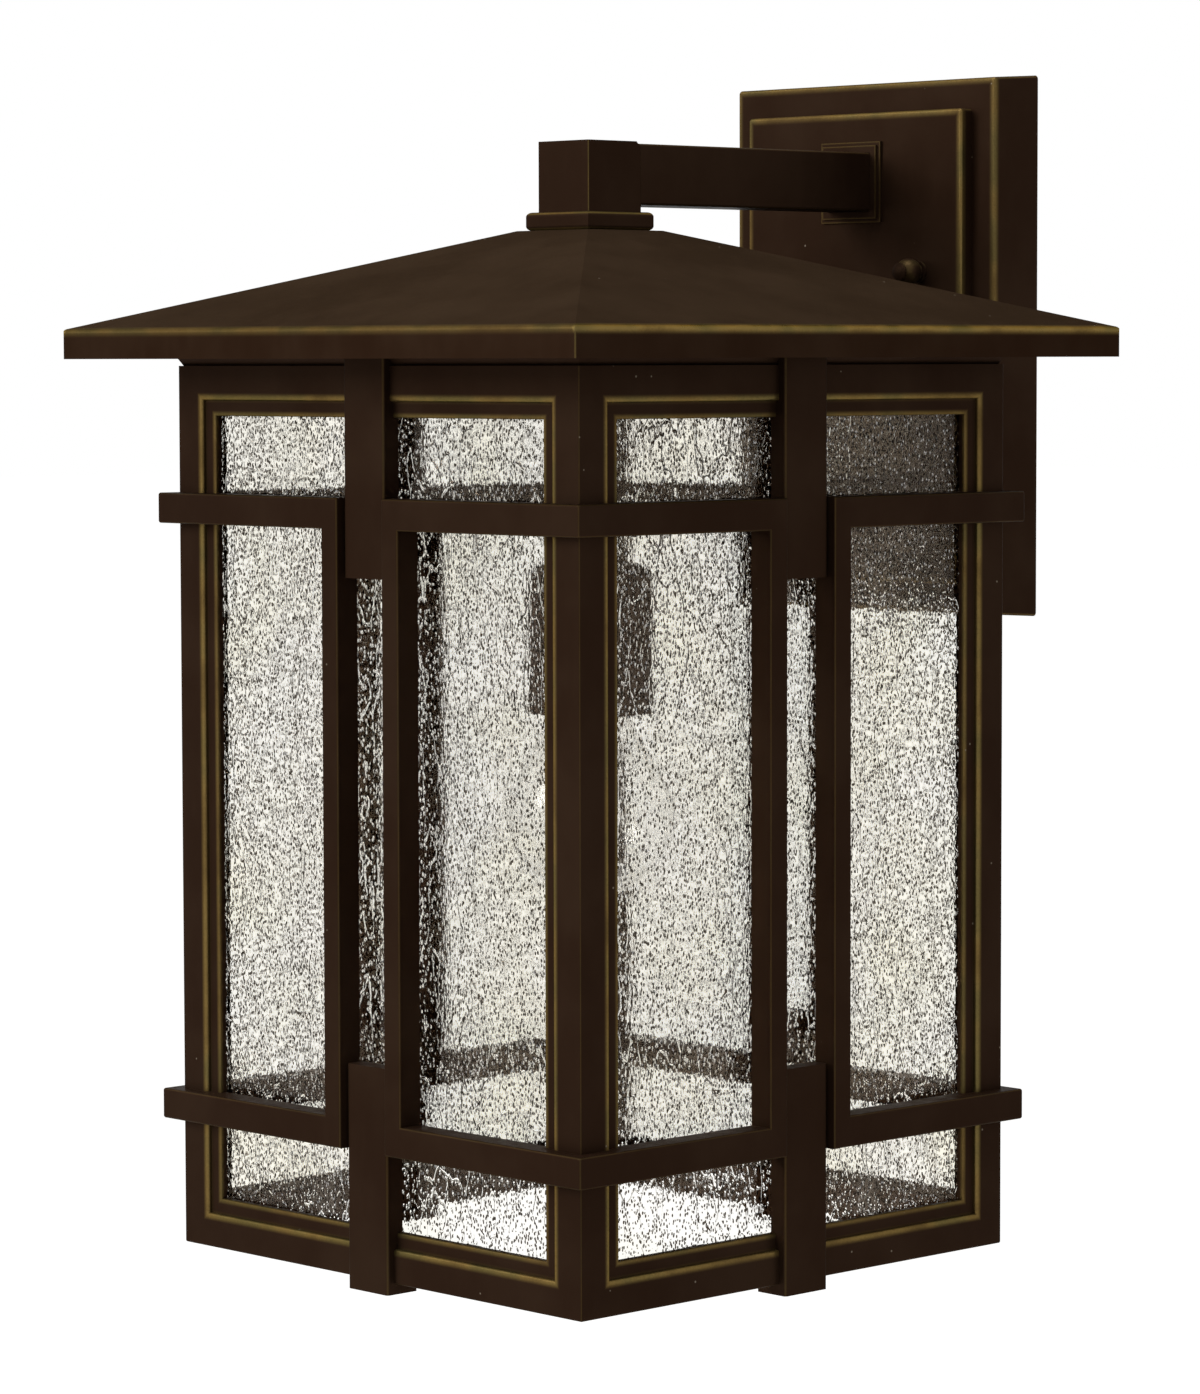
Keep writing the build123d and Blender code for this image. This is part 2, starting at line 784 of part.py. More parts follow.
def bulb_glass():
    edges = []
    throat_top = shell_top - 3.0
    for inset in (0.0, bulb_wall):
        neck, meet, side, bottom, heading = bulb_line(inset)
        throat = base_diameter / 2 - base_thickness - inset
        edges.append(Line((throat, base_low), (neck, base_low - 2)))
        edges.append(Line((neck, base_low - 2), (neck, neck_low)))
        edges.append(Spline((neck, neck_low), meet, tangents=[(0, -1), heading]))
        edges.append(ThreePointArc(meet, side, bottom))
        edges.append(Line((throat, throat_top), (throat, base_low)))
    outer_throat = base_diameter / 2 - base_thickness
    edges.append(Line((outer_throat, throat_top), (outer_throat - bulb_wall, throat_top)))
    edges.append(Line((0, bulb_low), (0, bulb_low + bulb_wall)))
    return turned(edges)


def bulb_base():
    """Threaded metal shell, with its rolled thread left smooth."""
    radius = base_diameter / 2
    inner = radius - base_thickness
    shoulder = insulator_diameter / 2
    points = [
        (shoulder, shell_top),
        (radius, shell_top - 2.4),
        (radius, base_low),
        (inner, base_low),
        (inner, shell_top - 2.6),
        (shoulder, shell_top - 0.6),
    ]
    return turned(Polyline(*points, close=True))


def bulb_insulator():
    points = [
        (0, tip_z - tip_height),
        (tip_diameter / 2, tip_z - tip_height),
        (insulator_diameter / 2, shell_top + 0.8),
        (insulator_diameter / 2, shell_top - 0.6),
        (0, shell_top - 0.6),
    ]
    return turned(Polyline(*points, close=True))


def bulb_tip():
    radius = tip_diameter / 2
    low = tip_z - tip_height
    rim = low + tip_height / 2
    sides = Polyline((0, tip_z), (0, low), (radius, low), (radius, rim))
    return turned([sides, crown(radius, rim, tip_z)])


def bulb_mount():
    """Glass foot that carries the lead wires inside the bulb."""
    high = base_low + mount_rise
    rim = high - mount_rim
    flare = base_diameter / 2 - base_thickness - bulb_wall
    points = [
        (0, high),
        (flare, high),
        (flare, rim),
        (mount_diameter / 2, rim - mount_cone),
        (mount_diameter / 2, mount_low),
        (0, mount_low),
    ]
    return turned(Polyline(*points, close=True))


def bar_between(start, end, diameter):
    """Round bar between two points."""
    path = Line(start, end)
    return sweep(Plane(origin=start, z_dir=path % 0) * Circle(diameter / 2), path)


def bulb_filament():
    """Two leads, a middle support and the bowed filament."""
    low = mount_low
    side = mount_diameter / 2 - lead_diameter
    end_z = low - filament_drop
    span = filament_span / 2
    bow = ThreePointArc((-span, 0, end_z), (0, -filament_bow, end_z), (span, 0, end_z))
    plane = Plane(origin=bow @ 0, z_dir=bow % 0)
    wire = sweep(plane * Circle(filament_diameter / 2), bow)
    clear = filament_diameter / 2
    lead_end = end_z + clear
    leads = [
        bar_between((sense * side, 0, low), (sense * span, 0, lead_end), lead_diameter)
        for sense in (-1, 1)
    ]
    support = bar_between((0, 0, low), (0, -filament_bow, lead_end), lead_diameter)
    foot = bulb_mount()
    return [wire] + [lead - wire - foot for lead in leads] + [support - wire - foot]


# Two insulated leads through the nipples, the hub and the arm
def supply_leads():
    tail_y = -(panel_back - washer_thickness - lock_nut_height - nipple_spare) + wire_tail
    leads = []
    for side in (-1, 1):
        x = side * wire_spread / 2
        start = (x, -reach, socket_top)
        corner = (x, -reach, arm_height_on_plate)
        path = FilletPolyline(start, corner, (x, tail_y, arm_height_on_plate), radius=wire_bend)
        leads.append(sweep(Plane(origin=start, z_dir=path % 0) * Circle(wire_diameter / 2), path))
    return leads


# Wall hardware
save("wall_plate", off_wall(wall_plate()))
save("mounting_strap", off_wall(mounting_strap()))
save("mounting_studs", *[off_wall(stud) for stud in studs()])
save("stud_nuts", *[off_wall(nut) for nut in stud_nuts()])
save("ground_screw", off_wall(ground_screw()))
save("wall_gasket", off_wall(wall_gasket()))
for stud_name, stud_place in zip(("left", "right"), stud_places()):
    save(f"cap_nut_{stud_name}", off_wall(Pos(*stud_place, panel_front) * cap_nut()))

# Arm
save("arm", off_wall(arm()))
save("arm_escutcheon", off_wall(arm_escutcheon()))
save("arm_wall_plug", off_wall(arm_wall_plug()))
save("arm_nipple", off_wall(arm_nipple()))
save("arm_washer", off_wall(arm_washer()))
save("arm_lock_nut", off_wall(arm_lock_nut()))

# Hub and roof
neck = neck_plate()
save("hub_post", on_lantern(hub_post()))
save("roof_collar", on_lantern(roof_collar()))
save("roof", on_lantern(roof()))
save("roof_soffit", on_lantern(roof_soffit()))
save("neck_plate", on_lantern(neck))
save("cage_screws", *[on_lantern(screw) for screw in cage_screws()])

# Cage, glass, overlays and battens on the four faces
face_names = ("front", "right", "back", "left")
corner_names = ("front_right", "back_right", "back_left", "front_left")
plain_frame = side_frame()
overlay = corner_overlay([plain_frame, quarter_turn(plain_frame, 1)])
upper = upper_batten(plain_frame, neck)
lower = lower_batten(plain_frame)
clips = []
clip_screws = []
for turns, face in enumerate(face_names):
    save(f"cage_frame_{face}", on_lantern(drilled(plain_frame, turns)))
    save(f"glass_{face}", on_lantern(quarter_turn(pane(), turns)))
    save(f"upper_batten_{face}", on_lantern(quarter_turn(upper, turns)))
    save(f"lower_batten_{face}", on_lantern(quarter_turn(lower, turns)))
    save(f"overlay_{corner_names[turns]}", on_lantern(quarter_turn(overlay, turns)))
    for place in clip_places():
        clip, clip_screw = clip_and_screw(*place)
        clips.append(on_lantern(quarter_turn(clip, turns)))
        clip_screws.append(on_lantern(quarter_turn(clip_screw, turns)))
save("glass_clips", *clips)
save("clip_screws", *clip_screws)

# Lamp holder
save("lamp_nipple", on_lantern(lamp_nipple()))
save("ceiling_washer", on_lantern(ceiling_washer()))
save("ceiling_nut", on_lantern(ceiling_nut()))
save("stem_tube", on_lantern(stem_tube()))
save("socket_cup", on_lantern(socket_cup()))
save("socket_cap", on_lantern(socket_cap()))
save("socket_body", on_lantern(socket_body()))
save("socket_shell", on_lantern(socket_shell()))
save("socket_tongue", on_lantern(socket_tongue()))
save("terminal_screws", *[on_lantern(screw) for screw in terminal_screws()])
save("supply_leads", *supply_leads())

# Bulb
save("bulb_glass", on_lantern(bulb_glass()))
save("bulb_base", on_lantern(bulb_base()))
save("bulb_insulator", on_lantern(bulb_insulator()))
save("bulb_tip", on_lantern(bulb_tip()))
save("bulb_mount", on_lantern(bulb_mount()))
save("bulb_filament", *[on_lantern(wire) for wire in bulb_filament()])
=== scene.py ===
from math import asin, atan2, ceil, cos, hypot, pi, radians, sin, tan

import bmesh
import bpy
from bpy.props import FloatProperty, FloatVectorProperty, PointerProperty
from bpy.types import Operator, Panel, PropertyGroup
from mathutils import Matrix, Vector


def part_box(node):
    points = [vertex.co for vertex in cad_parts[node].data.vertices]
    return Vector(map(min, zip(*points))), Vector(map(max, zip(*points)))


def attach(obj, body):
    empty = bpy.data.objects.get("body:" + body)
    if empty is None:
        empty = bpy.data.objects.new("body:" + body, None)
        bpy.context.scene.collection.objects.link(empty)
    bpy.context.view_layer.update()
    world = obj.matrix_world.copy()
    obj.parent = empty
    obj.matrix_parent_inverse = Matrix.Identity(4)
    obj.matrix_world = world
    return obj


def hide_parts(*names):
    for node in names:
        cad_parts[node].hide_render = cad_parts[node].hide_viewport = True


bl_info = {
    "name": "Mission wall lantern",
    "version": (1, 0, 0),
    "blender": (4, 5, 0),
    "location": "View3D > Sidebar > Wall Lantern",
    "description": "Dresses the packed wall lantern with its finishes, glass, lamp and studio",
    "category": "Object",
}

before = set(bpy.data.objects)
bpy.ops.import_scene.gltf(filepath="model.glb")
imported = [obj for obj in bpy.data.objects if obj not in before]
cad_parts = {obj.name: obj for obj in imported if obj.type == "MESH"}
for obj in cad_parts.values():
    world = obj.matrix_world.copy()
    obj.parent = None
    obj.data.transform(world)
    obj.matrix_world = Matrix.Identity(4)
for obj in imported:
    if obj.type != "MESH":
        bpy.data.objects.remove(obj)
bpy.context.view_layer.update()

SIDES = ("front", "right", "back", "left")
CORNERS = ("front_right", "back_right", "back_left", "front_left")


# Places read from the frame, in metres
def span(node, axis):
    """Lowest and highest place of a node along one axis."""
    low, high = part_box(node)
    return low[axis], high[axis]


def middle(node):
    low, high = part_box(node)
    return (low + high) / 2


# Distance from the lantern's axis past which a pane's surface is its outer face, in mm
OUTER_FACE = 112.0
# Pitch of the medium lamp base's thread, in mm
LAMP_PITCH = 3.63

LANTERN = Vector((0, middle("roof").y, 0))
MILLIMETRES = Matrix.Scale(0.001, 4)
ON_LANTERN = Matrix.Translation(LANTERN) @ MILLIMETRES


# Sizes and colours a user would change
class LanternFinish(PropertyGroup):
    """Colours and wear of the lantern's finishes."""

    bronze: FloatVectorProperty(
        name="Bronze", description="Colour of the dark bronze paint", subtype="COLOR",
        default=(0.0255, 0.0128, 0.0072), min=0, max=1,
    )
    bronze_light: FloatVectorProperty(
        name="Lighter bronze", description="Colour of the paler clouds in the bronze", subtype="COLOR",
        default=(0.033, 0.0180, 0.0105), min=0, max=1,
    )
    # The roof colours go only on faces that look up: a painted top light, lighter than the bronze on the
    # sides
    roof: FloatVectorProperty(
        name="Roof", description="Colour of the bronze paint on the roof", subtype="COLOR",
        default=(0.040, 0.0240, 0.0135), min=0, max=1,
    )
    roof_top_lit_paler: FloatVectorProperty(
        name="Lighter roof", description="Colour of the paler clouds on the roof", subtype="COLOR",
        default=(0.052, 0.0320, 0.0185), min=0, max=1,
    )
    rubbed: FloatVectorProperty(
        name="Rubbed edge", description="Colour of the gold wiped on the edges", subtype="COLOR",
        default=(0.225, 0.148, 0.047), min=0, max=1,
    )
    rub_width: FloatProperty(
        name="Rubbed width", description="Width of the wiped line beside an edge", subtype="DISTANCE",
        unit="LENGTH", default=0.0026, min=0.0002, max=0.01,
    )
    peel: FloatProperty(
        name="Paint texture", description="Height of the fine texture in the paint", subtype="DISTANCE",
        unit="LENGTH", default=0.00002, min=0, max=0.001,
    )
    glass_seeds: FloatProperty(
        name="Seed height", description="Height of the seeds in the glass", subtype="DISTANCE",
        unit="LENGTH", default=0.0005, min=0, max=0.001,
    )
    glass_ripple: FloatProperty(
        name="Ripple height", description="Height of the drawn ripple in the glass", subtype="DISTANCE",
        unit="LENGTH", default=0.00008, min=0, max=0.001,
    )


class LanternStudio(PropertyGroup):
    """Camera, lamps and floor."""

    camera_place: FloatVectorProperty(
        name="Camera place", description="Where the camera stands", subtype="TRANSLATION", unit="LENGTH",
        default=(1.4316, -1.5473, -0.0038),
    )
    turn: FloatProperty(
        name="Turn", description="How far the camera turns round the lantern", subtype="ANGLE",
        default=radians(46.336),
    )
    pitch: FloatProperty(
        name="Pitch", description="How far the camera looks down", subtype="ANGLE", default=radians(3.987),
    )
    roll: FloatProperty(
        name="Roll", description="How far the camera leans", subtype="ANGLE", default=radians(-0.136),
    )
    lens: FloatProperty(
        name="Lens", description="Focal length for a 36 mm sensor", subtype="DISTANCE_CAMERA",
        default=146.37, min=10,
    )
    floor_drop: FloatProperty(
        name="Floor drop", description="How far the floor lies under the lantern's middle",
        subtype="DISTANCE", unit="LENGTH", default=1.25, min=0.4,
    )
    ambient: FloatProperty(
        name="Room light", description="Strength of the even light from all round", default=0.36, min=0,
    )
    key: FloatProperty(
        name="Key lamp", description="Power of the large lamp at the front left", subtype="POWER",
        default=58.0, min=0,
    )
    top: FloatProperty(
        name="Top lamp", description="Power of the large lamp above", subtype="POWER", default=45.0, min=0,
    )


# Shader helpers
def shade(tree, kind, sockets=(), **settings):
    """Adds a node, sets its own settings, and sets or joins its sockets."""
    node = tree.nodes.new(kind)
    for name, value in settings.items():
        setattr(node, name, value)
    for key, value in dict(sockets).items():
        socket = node.inputs[key]
        if isinstance(value, bpy.types.NodeSocket):
            tree.links.new(value, socket)
        else:
            socket.default_value = value
    return node


def sum_of(tree, operation, *values):
    """Output of a Math node."""
    return shade(tree, "ShaderNodeMath", dict(enumerate(values)), operation=operation).outputs[0]


def ramp(tree, value, low, high, to_low=0.0, to_high=1.0):
    """Smooth step from one level to another."""
    sockets = {
        "Value": value, "From Min": low, "From Max": high, "To Min": to_low, "To Max": to_high,
    }
    step = shade(tree, "ShaderNodeMapRange", sockets, interpolation_type="SMOOTHSTEP")
    return step.outputs["Result"]


def noise(tree, vector, scale, detail=2.0, rough=0.5):
    sockets = {"Vector": vector, "Scale": scale, "Detail": detail, "Roughness": rough}
    return shade(tree, "ShaderNodeTexNoise", sockets).outputs["Fac"]


def blend_colours(tree, share, first, second, mode="MIX"):
    mix = shade(tree, "ShaderNodeMix", {"Factor": share}, data_type="RGBA", blend_type=mode)
    for index, value in ((6, first), (7, second)):
        if isinstance(value, bpy.types.NodeSocket):
            tree.links.new(value, mix.inputs[index])
        else:
            mix.inputs[index].default_value = (*value, 1.0)
    return mix.outputs[2]


def new_group(name, inputs, outputs):
    """Empty shader group with its named sockets."""
    tree = bpy.data.node_groups.new(name, "ShaderNodeTree")
    for label, kind, value in inputs:
        socket = tree.interface.new_socket(name=label, in_out="INPUT", socket_type="NodeSocket" + kind)
        if value is not None:
            socket.default_value = value
    for label, kind in outputs:
        tree.interface.new_socket(name=label, in_out="OUTPUT", socket_type="NodeSocket" + kind)
    return tree, tree.nodes.new("NodeGroupInput").outputs, tree.nodes.new("NodeGroupOutput").inputs


def use_group(tree, name, **sockets):
    """Places a shared group in a material."""
    node = tree.nodes.new("ShaderNodeGroup")
    node.node_tree = bpy.data.node_groups[name]
    for key, value in sockets.items():
        socket = node.inputs[key.replace("_", " ").title()]
        if isinstance(value, bpy.types.NodeSocket):
            tree.links.new(value, socket)
        else:
            socket.default_value = value
    return node.outputs


def edge_line_group():
    """Mask that is 1 on a rectangle's edge in its face, and falls to 0 beside it."""
    names = ("Across", "Up", "Depth", "Half Across", "Half Up", "Face", "Width")
    inputs = [(name, "Float", 1.0) for name in names]
    tree, given, out = new_group("Edge line", inputs, [("Mask", "Float")])
    side = sum_of(tree, "SUBTRACT", sum_of(tree, "ABSOLUTE", given["Across"]), given["Half Across"])
    rise = sum_of(tree, "SUBTRACT", sum_of(tree, "ABSOLUTE", given["Up"]), given["Half Up"])
    away = sum_of(tree, "MAXIMUM", side, rise)
    deep = sum_of(tree, "SUBTRACT", given["Depth"], given["Face"])
    square = sum_of(tree, "ADD", sum_of(tree, "MULTIPLY", away, away), sum_of(tree, "MULTIPLY", deep, deep))
    far = sum_of(tree, "SQRT", square)
    core = sum_of(tree, "MULTIPLY", given["Width"], 0.1)
    tree.links.new(ramp(tree, far, core, given["Width"], 1.0, 0.0), out["Mask"])


def rounded_edge_group():
    """Mask of the rounded edges, where the surface faces between the piece's own directions."""
    tree, given, out = new_group(
        "Rounded edge", [("Start", "Float", 0.05), ("Full", "Float", 0.2)], [("Mask", "Float")]
    )
    facing = shade(tree, "ShaderNodeTexCoord").outputs["Normal"]
    parts = shade(tree, "ShaderNodeSeparateXYZ", {0: facing}).outputs
    sizes = [sum_of(tree, "ABSOLUTE", part) for part in parts]
    most = sum_of(tree, "MAXIMUM", sum_of(tree, "MAXIMUM", sizes[0], sizes[1]), sizes[2])
    slant = sum_of(tree, "SUBTRACT", 1.0, most)
    tree.links.new(ramp(tree, slant, given["Start"], given["Full"]), out["Mask"])


def painted_bronze_group():
    """Dark bronze paint with clouds, fine texture, dust specks and gold wiped on the edges."""
    inputs = [
        ("Vector", "Vector", None), ("Rubbed", "Float", 0.0), ("Dark", "Color", None),
        ("Light", "Color", None), ("Gold", "Color", None),
    ]
    outputs = [("Color", "Color"), ("Roughness", "Float"), ("Metallic", "Float"), ("Height", "Float")]
    tree, given, out = new_group("Painted bronze", inputs, outputs)
    place = given["Vector"]
    clouds = noise(tree, place, 0.02, 4.0, 0.55)
    streaks = shade(tree, "ShaderNodeMapping", {"Vector": place, "Scale": (1.0, 1.0, 0.25)}).outputs[0]
    streaks = noise(tree, streaks, 0.16, 3.0, 0.6)
    base = blend_colours(tree, ramp(tree, clouds, 0.35, 0.7), given["Dark"], given["Light"])
    base = blend_colours(tree, ramp(tree, streaks, 0.5, 0.85, 0.0, 0.35), base, given["Light"])
    patches = noise(tree, place, 0.045, 2.0, 0.5)
    fray = noise(tree, place, 1.1, 2.0, 0.6)
    worn = sum_of(tree, "MULTIPLY", given["Rubbed"], ramp(tree, patches, 0.25, 0.6, 0.55, 1.0))
    worn = sum_of(tree, "MULTIPLY", worn, ramp(tree, fray, 0.2, 0.7, 0.75, 1.0))
    tint = blend_colours(tree, ramp(tree, patches, 0.4, 0.65), given["Gold"], (0.135, 0.102, 0.036))
    base = blend_colours(tree, worn, base, tint)
    cells = shade(tree, "ShaderNodeTexVoronoi", {"Vector": place, "Scale": 0.11})
    draw = shade(tree, "ShaderNodeSeparateColor", {0: cells.outputs["Color"]}).outputs[0]
    chosen = sum_of(tree, "GREATER_THAN", draw, 0.78)
    dust = sum_of(tree, "MULTIPLY", chosen, ramp(tree, cells.outputs["Distance"], 0.03, 0.06, 1.0, 0.0))
    base = blend_colours(tree, sum_of(tree, "MULTIPLY", dust, 0.8), base, (0.24, 0.2, 0.15))
    tree.links.new(base, out["Color"])
    polish = sum_of(tree, "MULTIPLY", worn, -0.08)
    rough = sum_of(tree, "ADD", ramp(tree, streaks, 0.3, 0.8, 0.36, 0.5), polish)
    tree.links.new(rough, out["Roughness"])
    tree.links.new(ramp(tree, worn, 0.0, 1.0, 0.3, 0.75), out["Metallic"])
    fine = noise(tree, place, 2.2, 2.0, 0.5)
    broad = noise(tree, place, 0.25, 2.0, 0.5)
    height = sum_of(tree, "ADD", fine, sum_of(tree, "MULTIPLY", broad, 1.5))
    tree.links.new(sum_of(tree, "ADD", height, sum_of(tree, "MULTIPLY", dust, 2.0)), out["Height"])


def metal_grain_group():
    """Colour, roughness and height of turned or rolled bare metal."""
    inputs = [
        ("Vector", "Vector", None), ("Bright", "Color", None), ("Dull", "Color", None),
        ("Scale", "Float", 1.0),
    ]
    outputs = [("Color", "Color"), ("Roughness", "Float"), ("Height", "Float")]
    tree, given, out = new_group("Metal grain", inputs, outputs)
    scale = given["Scale"]
    stain = noise(tree, given["Vector"], sum_of(tree, "MULTIPLY", scale, 0.12), 4.0, 0.6)
    fine = noise(tree, given["Vector"], sum_of(tree, "MULTIPLY", scale, 2.5), 3.0, 0.6)
    colour = blend_colours(tree, ramp(tree, stain, 0.4, 0.7), given["Bright"], given["Dull"])
    tree.links.new(colour, out["Color"])
    tree.links.new(ramp(tree, stain, 0.3, 0.8, 0.25, 0.5), out["Roughness"])
    tree.links.new(fine, out["Height"])


def make_groups():
    for build in (edge_line_group, rounded_edge_group, painted_bronze_group, metal_grain_group):
        build()


# Materials
def new_material(name):
    """Material with one Principled shader joined to its output."""
    material = bpy.data.materials.new(name)
    material.use_nodes = True
    tree = material.node_tree
    tree.nodes.clear()
    surface = tree.nodes.new("ShaderNodeBsdfPrincipled")
    output = tree.nodes.new("ShaderNodeOutputMaterial")
    tree.links.new(surface.outputs[0], output.inputs["Surface"])
    return material, tree, surface, output


def in_millimetres(tree, centre=(0, 0, 0)):
    """Object coordinates in millimetres from a centre given in metres."""
    place = shade(tree, "ShaderNodeTexCoord").outputs["Object"]
    moved = [-1000 * value for value in centre]
    sockets = {"Vector": place, "Location": moved, "Scale": (1000, 1000, 1000)}
    return shade(tree, "ShaderNodeMapping", sockets).outputs[0]


def bump(tree, surface, height, distance):
    sockets = {"Height": height, "Distance": distance, "Strength": 1.0}
    node = shade(tree, "ShaderNodeBump", sockets)
    tree.links.new(node.outputs[0], surface.inputs["Normal"])


def strongest(tree, masks):
    """The highest of several masks."""
    result = masks[0]
    for mask in masks[1:]:
        result = sum_of(tree, "MAXIMUM", result, mask)
    return result


def bronze(name, centre=(0, 0, 0), lines=None, rounded=0.0, start=0.04, full=0.22, gloss=0.02, painted_top_light=False):
    """Bronze finish. Lines gives the wiped edges as (axes, half across, half up, face, strength, width).

    Rounded is the strength of the wiping on rounded edges, start and full the slants where it
    begins and is complete, and painted_top_light gives the faces that look up the roof's lighter tone, a
    painted top light.
    """
    finish = bpy.context.scene.lantern_finish
    material, tree, surface, _ = new_material(name)
    place = in_millimetres(tree, centre)
    parts = shade(tree, "ShaderNodeSeparateXYZ", {0: place}).outputs
    rims = use_group(tree, "Rounded edge", start=start, full=full)["Mask"]
    masks = [sum_of(tree, "MULTIPLY", rims, rounded)]
    for axes, half_across, half_up, face, strength, width in lines or ():
        across, up, depth = axes(tree, parts)
        mask = use_group(
            tree, "Edge line", across=across, up=up, depth=depth,
            half_across=half_across, half_up=half_up, face=face, width=1000 * finish.rub_width * width,
        )["Mask"]
        masks.append(sum_of(tree, "MULTIPLY", mask, strength))
    paint = use_group(
        tree, "Painted bronze", vector=place, rubbed=strongest(tree, masks),
        dark=(*finish.bronze, 1), light=(*finish.bronze_light, 1), gold=(*finish.rubbed, 1),
    )
    # Painted top light: faces that look up are blended towards the lighter roof colours
    if painted_top_light:
        normal = shade(tree, "ShaderNodeTexCoord").outputs["Normal"]
        facing = shade(tree, "ShaderNodeSeparateXYZ", {0: normal}).outputs
        level = ramp(tree, facing[2], 0.6, 0.9)
        sockets = paint["Color"].node.inputs
        tree.links.new(blend_colours(tree, level, finish.bronze, finish.roof), sockets["Dark"])
        tree.links.new(blend_colours(tree, level, finish.bronze_light, finish.roof_top_lit_paler), sockets["Light"])
    for socket, output in (("Base Color", "Color"), ("Roughness", "Roughness"), ("Metallic", "Metallic")):
        tree.links.new(paint[output], surface.inputs[socket])
    surface.inputs["Specular IOR Level"].default_value = gloss
    surface.inputs["Specular Tint"].default_value = (0.06, 0.04, 0.025, 1)
    bump(tree, surface, paint["Height"], finish.peel)
    return material


def cage_axes(tree, parts):
    """Along a side of the cage, up it, and out of it, the same for all four sides."""
    x, y = (sum_of(tree, "ABSOLUTE", part) for part in parts[:2])
    return sum_of(tree, "MINIMUM", x, y), parts[2], sum_of(tree, "MAXIMUM", x, y)


def roof_axes(tree, parts):
    return parts[0], parts[1], parts[2]


def wall_axes(tree, parts):
    return parts[0], parts[2], sum_of(tree, "MULTIPLY", parts[1], -1.0)


def bare_metal(name, bright, dull, scale=1.0, height=0.00001):
    material, tree, surface, _ = new_material(name)
    grain = use_group(
        tree, "Metal grain", vector=in_millimetres(tree), bright=(*bright, 1), dull=(*dull, 1), scale=scale
    )
    tree.links.new(grain["Color"], surface.inputs["Base Color"])
    tree.links.new(grain["Roughness"], surface.inputs["Roughness"])
    surface.inputs["Metallic"].default_value = 1.0
    bump(tree, surface, grain["Height"], height)
    return material


def lamps_pass(tree, surface, output):
    """Lets the lamps' light through glass, so that what is behind it isn't in the dark."""
    rays = tree.nodes.new("ShaderNodeLightPath").outputs["Is Shadow Ray"]
    clear = tree.nodes.new("ShaderNodeBsdfTransparent")
    clear.inputs["Color"].default_value = (0.9, 0.9, 0.88, 1)
    mix = tree.nodes.new("ShaderNodeMixShader")
    tree.links.new(rays, mix.inputs[0])
    tree.links.new(surface.outputs[0], mix.inputs[1])
    tree.links.new(clear.outputs[0], mix.inputs[2])
    tree.links.new(mix.outputs[0], output.inputs["Surface"])


def seeds(tree, grain, scale, shift, centre, rim):
    """Mask of small separate seeds: one at their centres, zero past their rims."""
    moved = shade(tree, "ShaderNodeMapping", {"Vector": grain, "Location": (shift, shift, shift)}).outputs[0]
    cells = shade(tree, "ShaderNodeTexVoronoi", {"Vector": moved, "Scale": scale}, feature="F1")
    return ramp(tree, cells.outputs["Distance"], centre, rim, 1.0, 0.0)


def seeded_glass():
    """Clear drawn glass with seeds and upright ripple in its outer face."""
    finish = bpy.context.scene.lantern_finish
    material, tree, surface, output = new_material("seeded_glass")
    place = in_millimetres(tree, (0, LANTERN.y, 0))
    split = shade(tree, "ShaderNodeSeparateXYZ", {"Vector": place}).outputs
    across, along = (sum_of(tree, "ABSOLUTE", split[name]) for name in "XY")
    outer = sum_of(tree, "GREATER_THAN", sum_of(tree, "MAXIMUM", across, along), OUTER_FACE)
    drawn = shade(tree, "ShaderNodeMapping", {"Vector": place, "Scale": (1.0, 1.0, 0.35)}).outputs[0]
    grain = shade(tree, "ShaderNodeMapping", {"Vector": place, "Scale": (1.0, 1.0, 0.6)}).outputs[0]
    # Painted shade: seeds in the outer face are drawn near-black in the glass's colour, standing in for the
    # dark rims that clear bubbles show by refraction
    dark = sum_of(tree, "MULTIPLY", outer, seeds(tree, grain, 0.82, 0.0, 0.34, 0.38))
    bent = seeds(tree, grain, 0.66, 40.0, 0.08, 0.37)
    ripple = noise(tree, drawn, 0.45, 2.0, 0.6)
    crease = sum_of(tree, "ABSOLUTE", sum_of(tree, "SUBTRACT", noise(tree, drawn, 0.13, 1.0, 0.4), 0.5))
    crease = ramp(tree, crease, 0.0, 0.016, 1.0, 0.0)
    clouds = ramp(tree, noise(tree, place, 0.02, 2.0, 0.5), 0.4, 0.7)
    clear = blend_colours(tree, clouds, (1.0, 0.985, 0.95), (0.985, 0.965, 0.89))
    tree.links.new(blend_colours(tree, dark, clear, (0.004, 0.003, 0.002)), surface.inputs["Base Color"])
    flecks = sum_of(tree, "MULTIPLY", outer, seeds(tree, grain, 0.62, 80.0, 0.14, 0.27))
    tree.links.new(flecks, surface.inputs["Coat Weight"])
    surface.inputs["Coat IOR"].default_value = 3.0
    surface.inputs["Coat Roughness"].default_value = 0.05
    surface.inputs["Roughness"].default_value = 0.0
    surface.inputs["IOR"].default_value = 1.3
    surface.inputs["Specular Tint"].default_value = (1.0, 0.72, 0.46, 1)
    surface.inputs["Transmission Weight"].default_value = 1.0
    seed_share = finish.glass_seeds / max(finish.glass_ripple, 1e-9)
    creased = sum_of(tree, "MULTIPLY", crease, 0.6)
    lumps = sum_of(tree, "MULTIPLY", strongest(tree, [bent, creased]), seed_share)
    height = sum_of(tree, "MULTIPLY", outer, sum_of(tree, "ADD", ripple, lumps))
    bump(tree, surface, height, finish.glass_ripple)
    lamps_pass(tree, surface, output)
    return material


